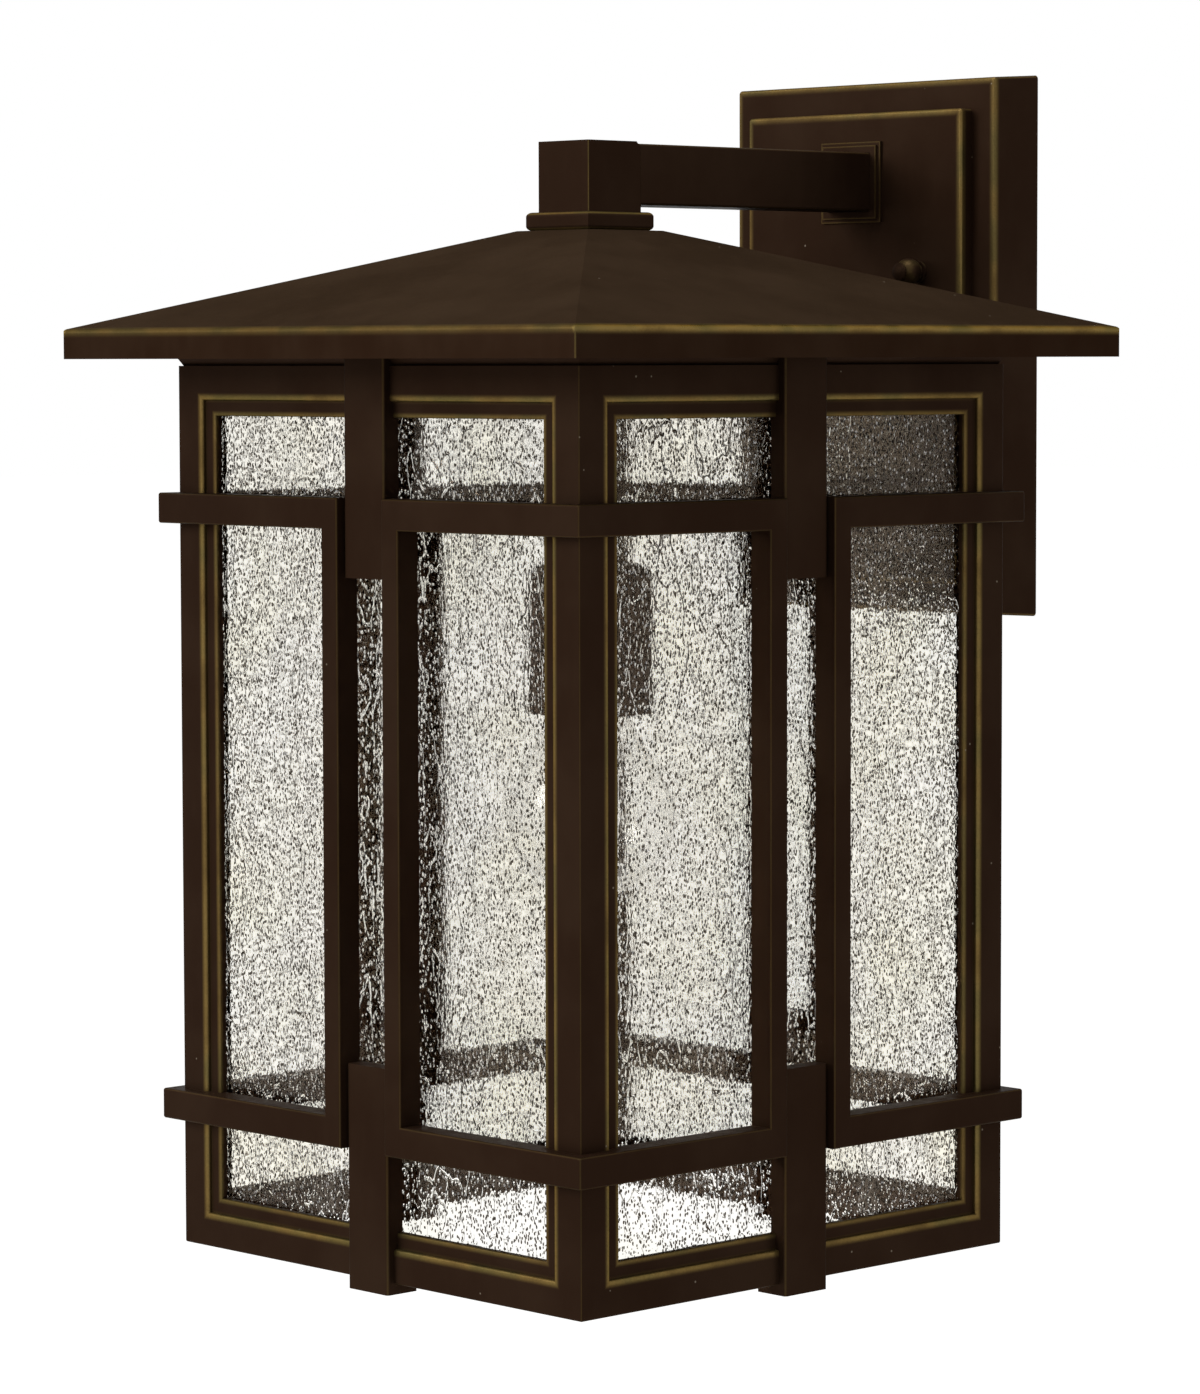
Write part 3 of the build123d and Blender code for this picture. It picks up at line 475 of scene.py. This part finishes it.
def clear_glass():
    """Thin clear bulb glass with faint dust."""
    material, tree, surface, output = new_material("bulb_clear_glass")
    place = in_millimetres(tree)
    dust = noise(tree, place, 0.3, 3.0, 0.6)
    tree.links.new(ramp(tree, dust, 0.45, 0.8, 0.0, 0.08), surface.inputs["Roughness"])
    colour = blend_colours(tree, ramp(tree, dust, 0.4, 0.8), (1, 1, 1), (0.93, 0.92, 0.88))
    tree.links.new(colour, surface.inputs["Base Color"])
    surface.inputs["IOR"].default_value = 1.5
    surface.inputs["Transmission Weight"].default_value = 1.0
    bump(tree, surface, noise(tree, place, 0.05, 1.0, 0.5), 0.0002)
    lamps_pass(tree, surface, output)
    return material


def plain_material(name, colour, paler, rough, scale=0.4, height=0.00002):
    """Non-metal material with clouded colour and a fine surface."""
    material, tree, surface, _ = new_material(name)
    place = in_millimetres(tree)
    clouds = noise(tree, place, scale, 4.0, 0.6)
    mottled = blend_colours(tree, ramp(tree, clouds, 0.35, 0.7), colour, paler)
    tree.links.new(mottled, surface.inputs["Base Color"])
    tree.links.new(ramp(tree, clouds, 0.3, 0.8, rough - 0.06, rough + 0.1), surface.inputs["Roughness"])
    bump(tree, surface, noise(tree, place, 6 * scale, 3.0, 0.6), height)
    return material


def paint_nodes(material, *nodes):
    """Gives CAD nodes a material in their own slots."""
    for name in nodes:
        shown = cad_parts[name]
        shown.data.materials.clear()
        shown.data.materials.append(material)


# Mesh helpers: a part is a mesh in millimetres, made round its own upright axis and then placed
def turned(outline, steps=32):
    """Round part from an outline of (radius, height), closed where it doesn't end on the axis."""
    part = bmesh.new()
    corners = [part.verts.new((radius, 0, height)) for radius, height in outline]
    pairs = list(zip(corners, corners[1:]))
    if outline[0][0] or outline[-1][0]:
        pairs.append((corners[-1], corners[0]))
    edges = [part.edges.new(pair) for pair in pairs]
    bmesh.ops.spin(
        part, geom=corners + edges, cent=(0, 0, 0), axis=(0, 0, 1), dvec=(0, 0, 0),
        angle=2 * pi, steps=steps, use_merge=True,
    )
    bmesh.ops.remove_doubles(part, verts=part.verts, dist=1e-4)
    return part


def arc(middle, radius, start, end, steps):
    """Points of an arc in an outline, between two angles in degrees."""
    turns = [radians(start + (end - start) * step / steps) for step in range(steps + 1)]
    return [(middle[0] + radius * cos(turn), middle[1] + radius * sin(turn)) for turn in turns]


def cut_off(part, place, facing):
    """Cuts the part at a plane and leaves what lies behind it."""
    whole = part.verts[:] + part.edges[:] + part.faces[:]
    bmesh.ops.bisect_plane(
        part, geom=whole, dist=1e-5, plane_co=place, plane_no=facing, clear_outer=True
    )


def open_rims(part):
    return [edge for edge in part.edges if edge.is_boundary]


def thread(root, crest, pitch, low, high, around=16, waves=2):
    """Skin of a screw thread between two heights, cut level at both ends."""
    part = bmesh.new()
    turns = ceil((high - low) / pitch) + 3
    corners = []
    for step in range(waves + 1):
        radius = root + (crest - root) * (1 - cos(2 * pi * step / waves)) / 2
        corners.append(part.verts.new((radius, 0, low + pitch * (step / waves - 1.5))))
    edges = [part.edges.new(pair) for pair in zip(corners, corners[1:])]
    bmesh.ops.spin(
        part, geom=corners + edges, cent=(0, 0, 0), axis=(0, 0, 1), dvec=(0, 0, pitch / around),
        angle=2 * pi * turns, steps=turns * around, use_merge=False,
    )
    bmesh.ops.remove_doubles(part, verts=part.verts, dist=1e-3)
    cut_off(part, (0, 0, low), (0, 0, -1))
    cut_off(part, (0, 0, high), (0, 0, 1))
    return part


def threaded_rod(root, crest, pitch, low, high):
    part = thread(root, crest, pitch, low, high)
    bmesh.ops.holes_fill(part, edges=open_rims(part), sides=0)
    return part


def threaded_tube(root, crest, pitch, low, high, bore):
    """Threaded rod with a plain bore."""
    part = thread(root, crest, pitch, low, high)
    for height in (low, high):
        rim = [edge for edge in open_rims(part) if abs(edge.verts[0].co.z - height) < 1e-3]
        inner = bmesh.ops.create_circle(
            part, segments=24, radius=bore, matrix=Matrix.Translation((0, 0, height))
        )["verts"]
        loop = list({edge for vert in inner for edge in vert.link_edges})
        bmesh.ops.bridge_loops(part, edges=rim + loop)
    bmesh.ops.bridge_loops(part, edges=open_rims(part))
    return part


def rolled_thread(root, crest, pitch, low, high, thickness):
    """Thin sheet rolled into a thread."""
    part = thread(root, crest, pitch, low, high, 32, 8)
    bmesh.ops.recalc_face_normals(part, faces=part.faces)
    bmesh.ops.solidify(part, geom=part.faces, thickness=-thickness)
    return part


def hexagonal(across, low, high, bore):
    """Hexagon nut or head with its corners cut back to a cone at both ends."""
    flat = across / 2
    middle = (low + high) / 2
    inside = 0.97 * flat
    part = turned([(bore, low), (inside, low), (flat, low), (flat, high), (inside, high), (bore, high)], 36)
    for vert in part.verts:
        radius = hypot(vert.co.x, vert.co.y)
        if radius < 0.99 * flat:
            continue
        wide = flat / cos(atan2(vert.co.y, vert.co.x) % (pi / 3) - pi / 6)
        drop = (wide - flat) * tan(pi / 6)
        vert.co.x *= wide / radius
        vert.co.y *= wide / radius
        vert.co.z += drop if vert.co.z < middle else -drop
    return part


def slotted(make, low, floor, high, slot):
    """Head made by a function of two heights, with a slot across it down to its floor."""
    parts = [make(low, floor)]
    for turn in (0, pi):
        half = make(floor, high)
        cut_off(half, (slot / 2, 0, 0), (-1, 0, 0))
        bmesh.ops.holes_fill(half, edges=open_rims(half), sides=0)
        parts.append(placed(half, Matrix.Rotation(turn, 4, "Z")))
    return joined(parts)


def pan_head(radius, low, high):
    """Low round head, domed where it is tall enough."""
    edge = min(0.6, high - low) / 2
    return turned([
        (0, low), (radius, low), (radius, high - 2 * edge), (0.9 * radius, high - 0.6 * edge),
        (0.65 * radius, high), (0, high),
    ], 24)


def spring(wire, radius, pitch, turns, around=12, sides=6):
    """Round wire wound in a coil, from z = 0 up."""
    part = bmesh.new()
    upright = Matrix.Translation((radius, 0, 0)) @ Matrix.Rotation(pi / 2, 4, "X")
    ring = bmesh.ops.create_circle(part, segments=sides, radius=wire, matrix=upright)["verts"]
    edges = list({edge for vert in ring for edge in vert.link_edges})
    steps = round(turns * around)
    bmesh.ops.spin(
        part, geom=ring + edges, cent=(0, 0, 0), axis=(0, 0, 1), dvec=(0, 0, pitch / around),
        angle=2 * pi * turns, steps=steps, use_merge=False,
    )
    bmesh.ops.holes_fill(part, edges=open_rims(part), sides=0)
    return part


def bar(start, end, radius, sides=10):
    """Round bar between two points."""
    start, end = Vector(start), Vector(end)
    part = bmesh.new()
    turn = (end - start).to_track_quat("Z", "Y").to_matrix().to_4x4()
    bmesh.ops.create_cone(
        part, cap_ends=True, segments=sides, radius1=radius, radius2=radius,
        depth=(end - start).length, matrix=Matrix.Translation((start + end) / 2) @ turn,
    )
    return part


def placed(part, *steps):
    """The part moved by one matrix after another, the last one first."""
    whole = Matrix.Identity(4)
    for step in steps:
        whole = whole @ step
    bmesh.ops.transform(part, matrix=whole, verts=part.verts)
    return part


def joined(parts):
    """One mesh of several parts, which are freed."""
    whole = bmesh.new()
    for part in parts:
        mesh = bpy.data.meshes.new("part")
        part.to_mesh(mesh)
        part.free()
        whole.from_mesh(mesh)
        bpy.data.meshes.remove(mesh)
    return whole


def piece(name, parts, material, body, slot, *replaced, sharp=35):
    """Object made of parts, which stands for CAD nodes and moves with a body."""
    whole = joined(parts)
    bmesh.ops.recalc_face_normals(whole, faces=whole.faces)
    mesh = bpy.data.meshes.new(name)
    whole.to_mesh(mesh)
    whole.free()
    mesh.shade_smooth()
    mesh.set_sharp_from_angle(angle=radians(sharp))
    mesh.materials.append(material)
    shown = bpy.data.objects.new(name, mesh)
    bpy.context.scene.collection.objects.link(shown)
    if replaced:
        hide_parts(*replaced)
    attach(shown, body)
    return shown


def on_wall(x, z):
    """Place on the wall: the part's axis points out of the wall."""
    return Matrix.Translation((x / 1000, 0, z / 1000)) @ Matrix.Rotation(pi / 2, 4, "X") @ MILLIMETRES


# Operators
class LANTERN_OT_bronze_body(Operator):
    """Finish the cage, roof, arm and plate in wiped bronze"""

    bl_idname = "lantern.bronze_body"
    bl_label = "Bronze body"

    def execute(self, context):
        cage_low, cage_high = (1000 * value for value in span("cage_frame_front", 2))
        centre = (0, LANTERN.y, (cage_low + cage_high) / 2000)
        tall = (cage_high - cage_low) / 2
        frame_lines = [
            (cage_axes, 102.8 + 0.6, tall - 13.8 + 0.6, 118.0, 1.0, 1.0),
            (cage_axes, 96.5 + 0.4, tall - 20.1 + 0.4, 116.2, 0.7, 0.75),
        ]
        cage = bronze("cage_bronze", centre, frame_lines, rounded=0.2)
        paint_nodes(cage, *[f"cage_frame_{side}" for side in SIDES])
        trim = bronze("trim_bronze", centre, rounded=0.22)
        paint_nodes(trim, *[f"overlay_{corner}" for corner in CORNERS])
        paint_nodes(trim, *[f"{row}_batten_{side}" for row in ("upper", "lower") for side in SIDES])
        roof_low = 1000 * span("roof", 2)[0]
        half = 500 * (span("roof", 0)[1] - span("roof", 0)[0])
        eave = roof_low + 11.8
        # Gold wiped along the eaves and the roof's corners. The X-facing eaves get a line more than twice as
        # strong as the front and back ones: wiped wear, and in part a painted glint where light catches
        # those eaves
        roof_wear_and_glint_lines = [
            (roof_axes, half, 1000.0, eave, 1.5, 1.35), (roof_axes, 1000.0, half, eave, 0.62, 1.35),
            (cage_axes, half, 1000.0, half, 0.9, 0.28),
        ]
        roof = bronze("roof_bronze_painted_top_light", LANTERN, roof_wear_and_glint_lines, gloss=0.0, painted_top_light=True)
        paint_nodes(roof, "roof")
        plain = bronze("inner_bronze", centre, rounded=0.0)
        paint_nodes(plain, "roof_soffit", "neck_plate", "stem_tube", "socket_cup")
        hub = bronze("hub_bronze", LANTERN, rounded=0.6)
        paint_nodes(hub, "hub_post")
        collar = bronze("collar_bronze", LANTERN, rounded=0.95, start=0.03, full=0.25)
        paint_nodes(collar, "roof_collar")
        arm = bronze("arm_bronze", rounded=0.25)
        paint_nodes(arm, "arm", "cap_nut_left", "cap_nut_right")
        arm_z = 1000 * middle("arm").z
        cover_lines = [(wall_axes, 17.0, 17.0, 33.3, 0.35, 0.3), (wall_axes, 15.4, 15.4, 34.4, 0.35, 0.3)]
        cover = bronze("escutcheon_bronze", (0, 0, arm_z / 1000), cover_lines)
        paint_nodes(cover, "arm_escutcheon")
        plate_lines = [
            (wall_axes, 74.5, 111.5, 25.4, 0.8, 1.25),
            (wall_axes, 61.9, 98.9, 32.0, 0.95, 1.35),
        ]
        plate = bronze("plate_bronze", lines=plate_lines, rounded=0.5)
        paint_nodes(plate, "wall_plate")
        return {"FINISHED"}


class LANTERN_OT_seeded_panes(Operator):
    """Glaze the four sides with seeded glass"""

    bl_idname = "lantern.seeded_panes"
    bl_label = "Seeded panes"

    def execute(self, context):
        paint_nodes(seeded_glass(), *[f"glass_{side}" for side in SIDES])
        return {"FINISHED"}


class LANTERN_OT_hardware(Operator):
    """Make the studs, nuts, clips, screws and lead ends, and finish the hardware"""

    bl_idname = "lantern.hardware"
    bl_label = "Hardware"

    def execute(self, context):
        steel = bare_metal("zinc_steel", (0.55, 0.55, 0.53), (0.36, 0.35, 0.33))
        paint_nodes(
            steel, "mounting_strap", "cage_screws", "arm_wall_plug", "arm_washer", "lamp_nipple",
            "ceiling_washer",
        )
        stud_x = 1000 * middle("cap_nut_right").x
        stud_z = 1000 * middle("cap_nut_right").z
        studs = [(sense * stud_x, stud_z) for sense in (-1, 1)]
        rods = [placed(threaded_rod(1.68, 2.05, 0.8, 0.0, 38.5), on_wall(*stud)) for stud in studs]
        piece("stud_threads", rods, steel, "fixture", "steel", "mounting_studs")
        nuts = [placed(hexagonal(8.7, 2.4, 5.6, 2.05), on_wall(*stud)) for stud in studs]
        piece("stud_hex_nuts", nuts, steel, "fixture", "steel", "stud_nuts")
        arm_z = 1000 * middle("arm").z
        nipple = placed(threaded_tube(4.45, 5.0, 0.94, 21.8, 44.0, 3.25), on_wall(0, arm_z))
        piece("arm_threaded_nipple", [nipple], steel, "fixture", "steel", "arm_nipple")
        nut = placed(hexagonal(14.0, 23.8, 28.8, 5.0), on_wall(0, arm_z))
        piece("arm_hex_nut", [nut], steel, "fixture", "steel", "arm_lock_nut")
        nut = placed(hexagonal(14.0, -13.2, -8.2, 5.0), ON_LANTERN)
        piece("ceiling_hex_nut", [nut], steel, "fixture", "steel", "ceiling_nut")
        self.clips()
        self.ground_screw()
        self.lead_ends()
        foam = plain_material("black_foam", (0.018, 0.018, 0.018), (0.035, 0.034, 0.033), 0.85, 1.2, 0.0001)
        paint_nodes(foam, "wall_gasket")
        wire = plain_material("wire_cover", (0.75, 0.74, 0.70), (0.62, 0.6, 0.55), 0.45)
        paint_nodes(wire, "supply_leads")
        return {"FINISHED"}

    def clips(self):
        """Spring clips with round corners, and slotted pan-head screws, on all four sides."""
        low, high = (1000 * value for value in span("glass_clips", 2))
        screw_low, screw_high = (1000 * value for value in span("clip_screws", 2))
        clips = []
        screws = []
        spots = [(x, sense) for x in (-50, 50) for sense in (-1, 1)]
        for quarter in range(4):
            side = ON_LANTERN @ Matrix.Rotation(quarter * pi / 2, 4, "Z")
            for x, sense in spots:
                outer = high if sense > 0 else low
                clip = bmesh.new()
                size = Matrix.Diagonal((12.0, 0.8, 15.6, 1.0))
                centre = Matrix.Translation((x, -109.6, outer - 7.8 * sense))
                bmesh.ops.create_cube(clip, size=1, matrix=centre @ size)
                across = [edge for edge in clip.edges if abs(edge.verts[0].co.y - edge.verts[1].co.y) > 0.5]
                bmesh.ops.bevel(
                    clip, geom=across, offset=2.2, offset_type="OFFSET", segments=5, profile=0.5,
                    affect="EDGES", material=-1,
                )
                rims = [edge for edge in clip.edges if edge.calc_face_angle(0) > 1.2]
                bmesh.ops.bevel(
                    clip, geom=rims, offset=0.15, offset_type="OFFSET", segments=2, profile=0.5,
                    affect="EDGES", material=-1,
                )
                clips.append(placed(clip, side))
                turn = Matrix.Rotation(0.7 * x + 1.9 * sense + quarter, 4, "Z")
                screw_z = screw_high - 2.7 if sense > 0 else screw_low + 2.7
                head = slotted(lambda bottom, top: pan_head(2.7, bottom, top), 0.0, 0.7, 1.6, 0.8)
                spot = Matrix.Translation((x, -109.2, screw_z)) @ Matrix.Rotation(-pi / 2, 4, "X")
                screws.append(placed(head, side, spot, turn))
        dark = bare_metal("blackened_steel", (0.075, 0.06, 0.05), (0.045, 0.036, 0.03))
        piece("pane_clips", clips, dark, "fixture", "steel", "glass_clips")
        piece("slotted_clip_screws", screws, dark, "fixture", "steel", "clip_screws")

    def ground_screw(self):
        """Green screw with a flange and a slotted hexagon head."""
        green = bare_metal("green_steel", (0.05, 0.22, 0.08), (0.03, 0.13, 0.05))
        shank = threaded_rod(1.55, 1.9, 0.8, 0.0, 2.5)
        flange = turned([(0, 2.4), (4.56, 2.4), (4.56, 2.9), (4.2, 3.4), (0, 3.4)])
        head = slotted(lambda bottom, top: hexagonal(6.84, bottom, top, 0.0), 3.4, 4.5, 5.68, 1.0)
        spot = middle("ground_screw")
        parts = [placed(part, on_wall(1000 * spot.x, 1000 * spot.z)) for part in (shank, flange, head)]
        piece("ground_hex_screw", parts, green, "fixture", "ground_screw_green", "ground_screw")

    def lead_ends(self):
        """Stripped ends of twisted copper strands on the supply leads."""
        copper = bare_metal("copper_strands", (0.72, 0.35, 0.18), (0.42, 0.2, 0.11), 2.0)
        high = 1000 * span("supply_leads", 2)[1] - 1.1
        ends = []
        for x in (-1.4, 1.4):
            spot = Matrix.Translation((x / 1000, span("supply_leads", 1)[1] - 0.0005, high / 1000))
            for strand in range(6):
                turn = Matrix.Rotation(strand * pi / 3, 4, "Z")
                wire = spring(0.2, 0.36, 4.0, 1.8, 16)
                ends.append(placed(wire, spot, Matrix.Rotation(-pi / 2, 4, "X"), MILLIMETRES, turn))
        piece("lead_strands", ends, copper, "fixture", "wire")


class LANTERN_OT_lamp(Operator):
    """Make the socket's shell, cup and body, the bulb's base and its filament"""

    bl_idname = "lantern.lamp"
    bl_label = "Lamp"

    def execute(self, context):
        brass = bare_metal("socket_brass", (0.78, 0.57, 0.24), (0.5, 0.36, 0.16))
        paint_nodes(brass, "socket_cap", "socket_tongue", "bulb_tip")
        self.socket(brass)
        self.bulb()
        black = plain_material("black_glass", (0.012, 0.012, 0.013), (0.02, 0.02, 0.02), 0.2)
        paint_nodes(black, "bulb_insulator")
        paint_nodes(clear_glass(), "bulb_glass", "bulb_mount")
        return {"FINISHED"}

    def socket(self, brass):
        """Porcelain body, rolled brass screw shell, rivets and the cup's rolled lip."""
        shell = rolled_thread(13.65, 14.35, LAMP_PITCH, -131.0, -108.0, 0.3)
        piece("socket_rolled_shell", [placed(shell, ON_LANTERN)], brass, "fixture", "brass", "socket_shell")
        rivets = []
        for side in (-1, 1):
            head = slotted(lambda bottom, top: pan_head(2.5, bottom, top), 0.0, 0.5, 1.2, 0.7)
            spot = Matrix.Translation((0, 9.9 * side, -101.0)) @ Matrix.Rotation(pi, 4, "X")
            rivets.append(placed(head, ON_LANTERN, spot))
        piece("slotted_terminals", rivets, brass, "fixture", "brass", "terminal_screws")
        porcelain = plain_material("porcelain", (0.82, 0.80, 0.75), (0.74, 0.71, 0.65), 0.22, 0.1, 0.00003)
        body = turned([
            (0, -93.0), (17.3, -93.0), *arc((17.3, -94.2), 1.2, 90, 0, 4)[1:], (18.5, -125.4),
            *arc((18.5, -126.4), 1.0, 90, 270, 6), *arc((17.1, -131.6), 1.4, 0, -90, 5),
            *arc((15.2, -132.2), 0.8, -90, -180, 4), (14.4, -101.6), (13.8, -101.0), (0, -101.0),
        ], 48)
        body = placed(body, ON_LANTERN)
        piece("glazed_socket_body", [body], porcelain, "fixture", "porcelain", "socket_body", sharp=50)
        bronze_cup = bronze("cup_bronze", LANTERN)
        lip = arc((24.3, -146.9), 0.9, 75, -195, 10)
        cup = turned([
            (5.0, -87.0), *arc((16.6, -95.0), 8.0, 90, 0, 8), *lip,
            *arc((16.6, -95.0), 6.8, 0, 90, 8), (5.0, -88.2),
        ], 64)
        piece("rolled_lip_cup", [placed(cup, ON_LANTERN)], bronze_cup, "fixture", "bronze", "socket_cup")

    def bulb(self):
        """Screw base with its rolled thread, and the coiled filament on its wires."""
        nickel = bare_metal("bulb_nickel", (0.68, 0.67, 0.64), (0.5, 0.49, 0.46))
        shell = rolled_thread(12.35, 13.15, LAMP_PITCH, -128.4, -111.0, 0.3)
        rim = turned([
            (12.3, -130.0), (13.2, -130.0), (13.2, -128.2),
            *arc((12.9, -128.2), 0.3, 0, 90, 2)[1:], (12.3, -127.9),
        ], 48)
        shoulder = turned([
            (12.2, -111.4), (12.6, -111.0), *arc((10.4, -110.2), 2.4, 0, 75, 6),
            (10.0, -107.5), (9.6, -107.7), (9.6, -108.3), (11.6, -109.8), (12.1, -111.0),
        ], 48)
        parts = [placed(part, ON_LANTERN) for part in (shell, rim, shoulder)]
        piece("bulb_rolled_base", parts, nickel, "bulb", "bulb_metal", "bulb_base")
        wire = bare_metal("filament_wire", (0.4, 0.38, 0.36), (0.25, 0.24, 0.23))
        level = -187.0
        bow = 9.0
        span_half = 14.0
        radius = (span_half**2 + bow**2) / (2 * bow)
        reach = 2 * asin(span_half / radius)
        turns = 84
        coil = spring(0.13, 0.5, reach * radius / turns, turns, 10, 5)
        for vert in coil.verts:
            angle = vert.co.z / radius - reach / 2
            out = radius + vert.co.x
            vert.co = (out * sin(angle), radius - bow - out * cos(angle), level + vert.co.y)
        wires = [coil]
        for sense in (-1, 1):
            wires.append(bar((sense * 2.3, 0, -166.5), (sense * span_half, 0, level), 0.32))
        wires.append(bar((0, 0, -166.5), (0, -bow, level + 0.4), 0.22))
        hook = spring(0.2, 0.75, 0.5, 1.5, 16, 6)
        wires.append(placed(hook, Matrix.Translation((-0.3, -bow, level)) @ Matrix.Rotation(pi / 2, 4, "Y")))
        parts = [placed(part, ON_LANTERN) for part in wires]
        piece("coiled_filament", parts, wire, "bulb", "bulb_metal", "bulb_filament")


def pale_light(tree, level):
    """Strength that is 1 for what the camera, glass and polish see, and the given level for the rest."""
    rays = tree.nodes.new("ShaderNodeLightPath").outputs
    seen = sum_of(tree, "MAXIMUM", rays["Is Camera Ray"], rays["Is Glossy Ray"])
    seen = sum_of(tree, "MAXIMUM", seen, rays["Is Transmission Ray"])
    return seen, ramp(tree, seen, 0.0, 1.0, level, 1.0)


def area_lamp(name, place, aim, power, size):
    data = bpy.data.lights.new(name, "AREA")
    data.shape = "SQUARE"
    data.size = size
    data.energy = power
    lamp = bpy.data.objects.new(name, data)
    bpy.context.scene.collection.objects.link(lamp)
    lamp.location = place
    lamp.rotation_euler = (Vector(aim) - Vector(place)).to_track_quat("-Z", "Y").to_euler()
    return lamp


class LANTERN_OT_stage(Operator):
    """Set up the camera, the soft lamps, the pale room and the floor"""

    bl_idname = "lantern.stage"
    bl_label = "Studio"

    def execute(self, context):
        studio = context.scene.lantern_studio
        self.camera(context, studio)
        self.room(context, studio)
        self.floor(studio)
        area_lamp("key_lamp", (-1.3, -3.0, 1.3), LANTERN, studio.key, 1.6)
        area_lamp("top_lamp", (0.3, -0.6, 2.8), LANTERN, studio.top, 1.6)
        context.scene.view_settings.view_transform = "Standard"
        return {"FINISHED"}

    def camera(self, context, studio):
        data = bpy.data.cameras.new("photo_camera")
        data.lens = studio.lens
        data.sensor_fit = "HORIZONTAL"
        data.sensor_width = 36.0
        data.clip_start, data.clip_end = 0.05, 100.0
        camera = bpy.data.objects.new("photo_camera", data)
        context.scene.collection.objects.link(camera)
        turn = Matrix.Rotation(studio.turn, 4, "Z")
        tilt = Matrix.Rotation(pi / 2 - studio.pitch, 4, "X")
        lean = Matrix.Rotation(studio.roll, 4, "Z")
        camera.matrix_world = Matrix.Translation(studio.camera_place) @ turn @ tilt @ lean
        context.scene.camera = camera

    def room(self, context, studio):
        world = bpy.data.worlds.new("pale_room")
        world.use_nodes = True
        tree = world.node_tree
        tree.nodes.clear()
        _, strength = pale_light(tree, studio.ambient)
        sky = shade(tree, "ShaderNodeBackground", {"Color": (1, 1, 1, 1), "Strength": strength})
        output = tree.nodes.new("ShaderNodeOutputWorld")
        tree.links.new(sky.outputs[0], output.inputs["Surface"])
        context.scene.world = world

    def floor(self, studio):
        mesh = bpy.data.meshes.new("studio_floor")
        shape = bmesh.new()
        bmesh.ops.create_grid(shape, x_segments=1, y_segments=1, size=40.0)
        bmesh.ops.translate(shape, verts=shape.verts, vec=(0, 0, -studio.floor_drop))
        shape.to_mesh(mesh)
        shape.free()
        floor = bpy.data.objects.new("studio_floor", mesh)
        bpy.context.scene.collection.objects.link(floor)
        material = bpy.data.materials.new("pale_floor")
        material.use_nodes = True
        tree = material.node_tree
        tree.nodes.clear()
        seen, _ = pale_light(tree, studio.ambient)
        matt = shade(tree, "ShaderNodeBsdfDiffuse", {"Color": (0.82, 0.82, 0.81, 1)})
        lift = sum_of(tree, "MULTIPLY", seen, 0.72)
        glow = shade(tree, "ShaderNodeEmission", {"Color": (1, 1, 1, 1), "Strength": lift})
        both = shade(tree, "ShaderNodeAddShader", {0: matt.outputs[0], 1: glow.outputs[0]})
        under = shade(tree, "ShaderNodeBsdfTransparent")
        facing = shade(tree, "ShaderNodeNewGeometry").outputs["Backfacing"]
        mix = shade(tree, "ShaderNodeMixShader", {0: facing, 1: both.outputs[0], 2: under.outputs[0]})
        output = tree.nodes.new("ShaderNodeOutputMaterial")
        tree.links.new(mix.outputs[0], output.inputs["Surface"])
        mesh.materials.append(material)


class LANTERN_PT_panel(Panel):
    """Sidebar panel that lists the lantern's parts and settings"""

    bl_idname = "LANTERN_PT_panel"
    bl_label = "Wall Lantern"
    bl_space_type = "VIEW_3D"
    bl_region_type = "UI"
    bl_category = "Wall Lantern"

    def draw(self, context):
        column = self.layout.column()
        for operator in OPERATORS:
            column.operator(operator.bl_idname)
        for group in (context.scene.lantern_finish, context.scene.lantern_studio):
            for name in group.bl_rna.properties.keys():
                if name not in ("rna_type", "name"):
                    column.prop(group, name)


OPERATORS = (
    LANTERN_OT_bronze_body,
    LANTERN_OT_seeded_panes,
    LANTERN_OT_hardware,
    LANTERN_OT_lamp,
    LANTERN_OT_stage,
)
CLASSES = (LanternFinish, LanternStudio, *OPERATORS, LANTERN_PT_panel)


def register():
    for kind in CLASSES:
        bpy.utils.register_class(kind)
    bpy.types.Scene.lantern_finish = PointerProperty(type=LanternFinish)
    bpy.types.Scene.lantern_studio = PointerProperty(type=LanternStudio)


def unregister():
    del bpy.types.Scene.lantern_studio
    del bpy.types.Scene.lantern_finish
    for kind in reversed(CLASSES):
        bpy.utils.unregister_class(kind)


def main():
    register()
    make_groups()
    for operator in OPERATORS:
        family, name = operator.bl_idname.split(".")
        getattr(getattr(bpy.ops, family), name)()


if __name__ == "__main__":
    main()
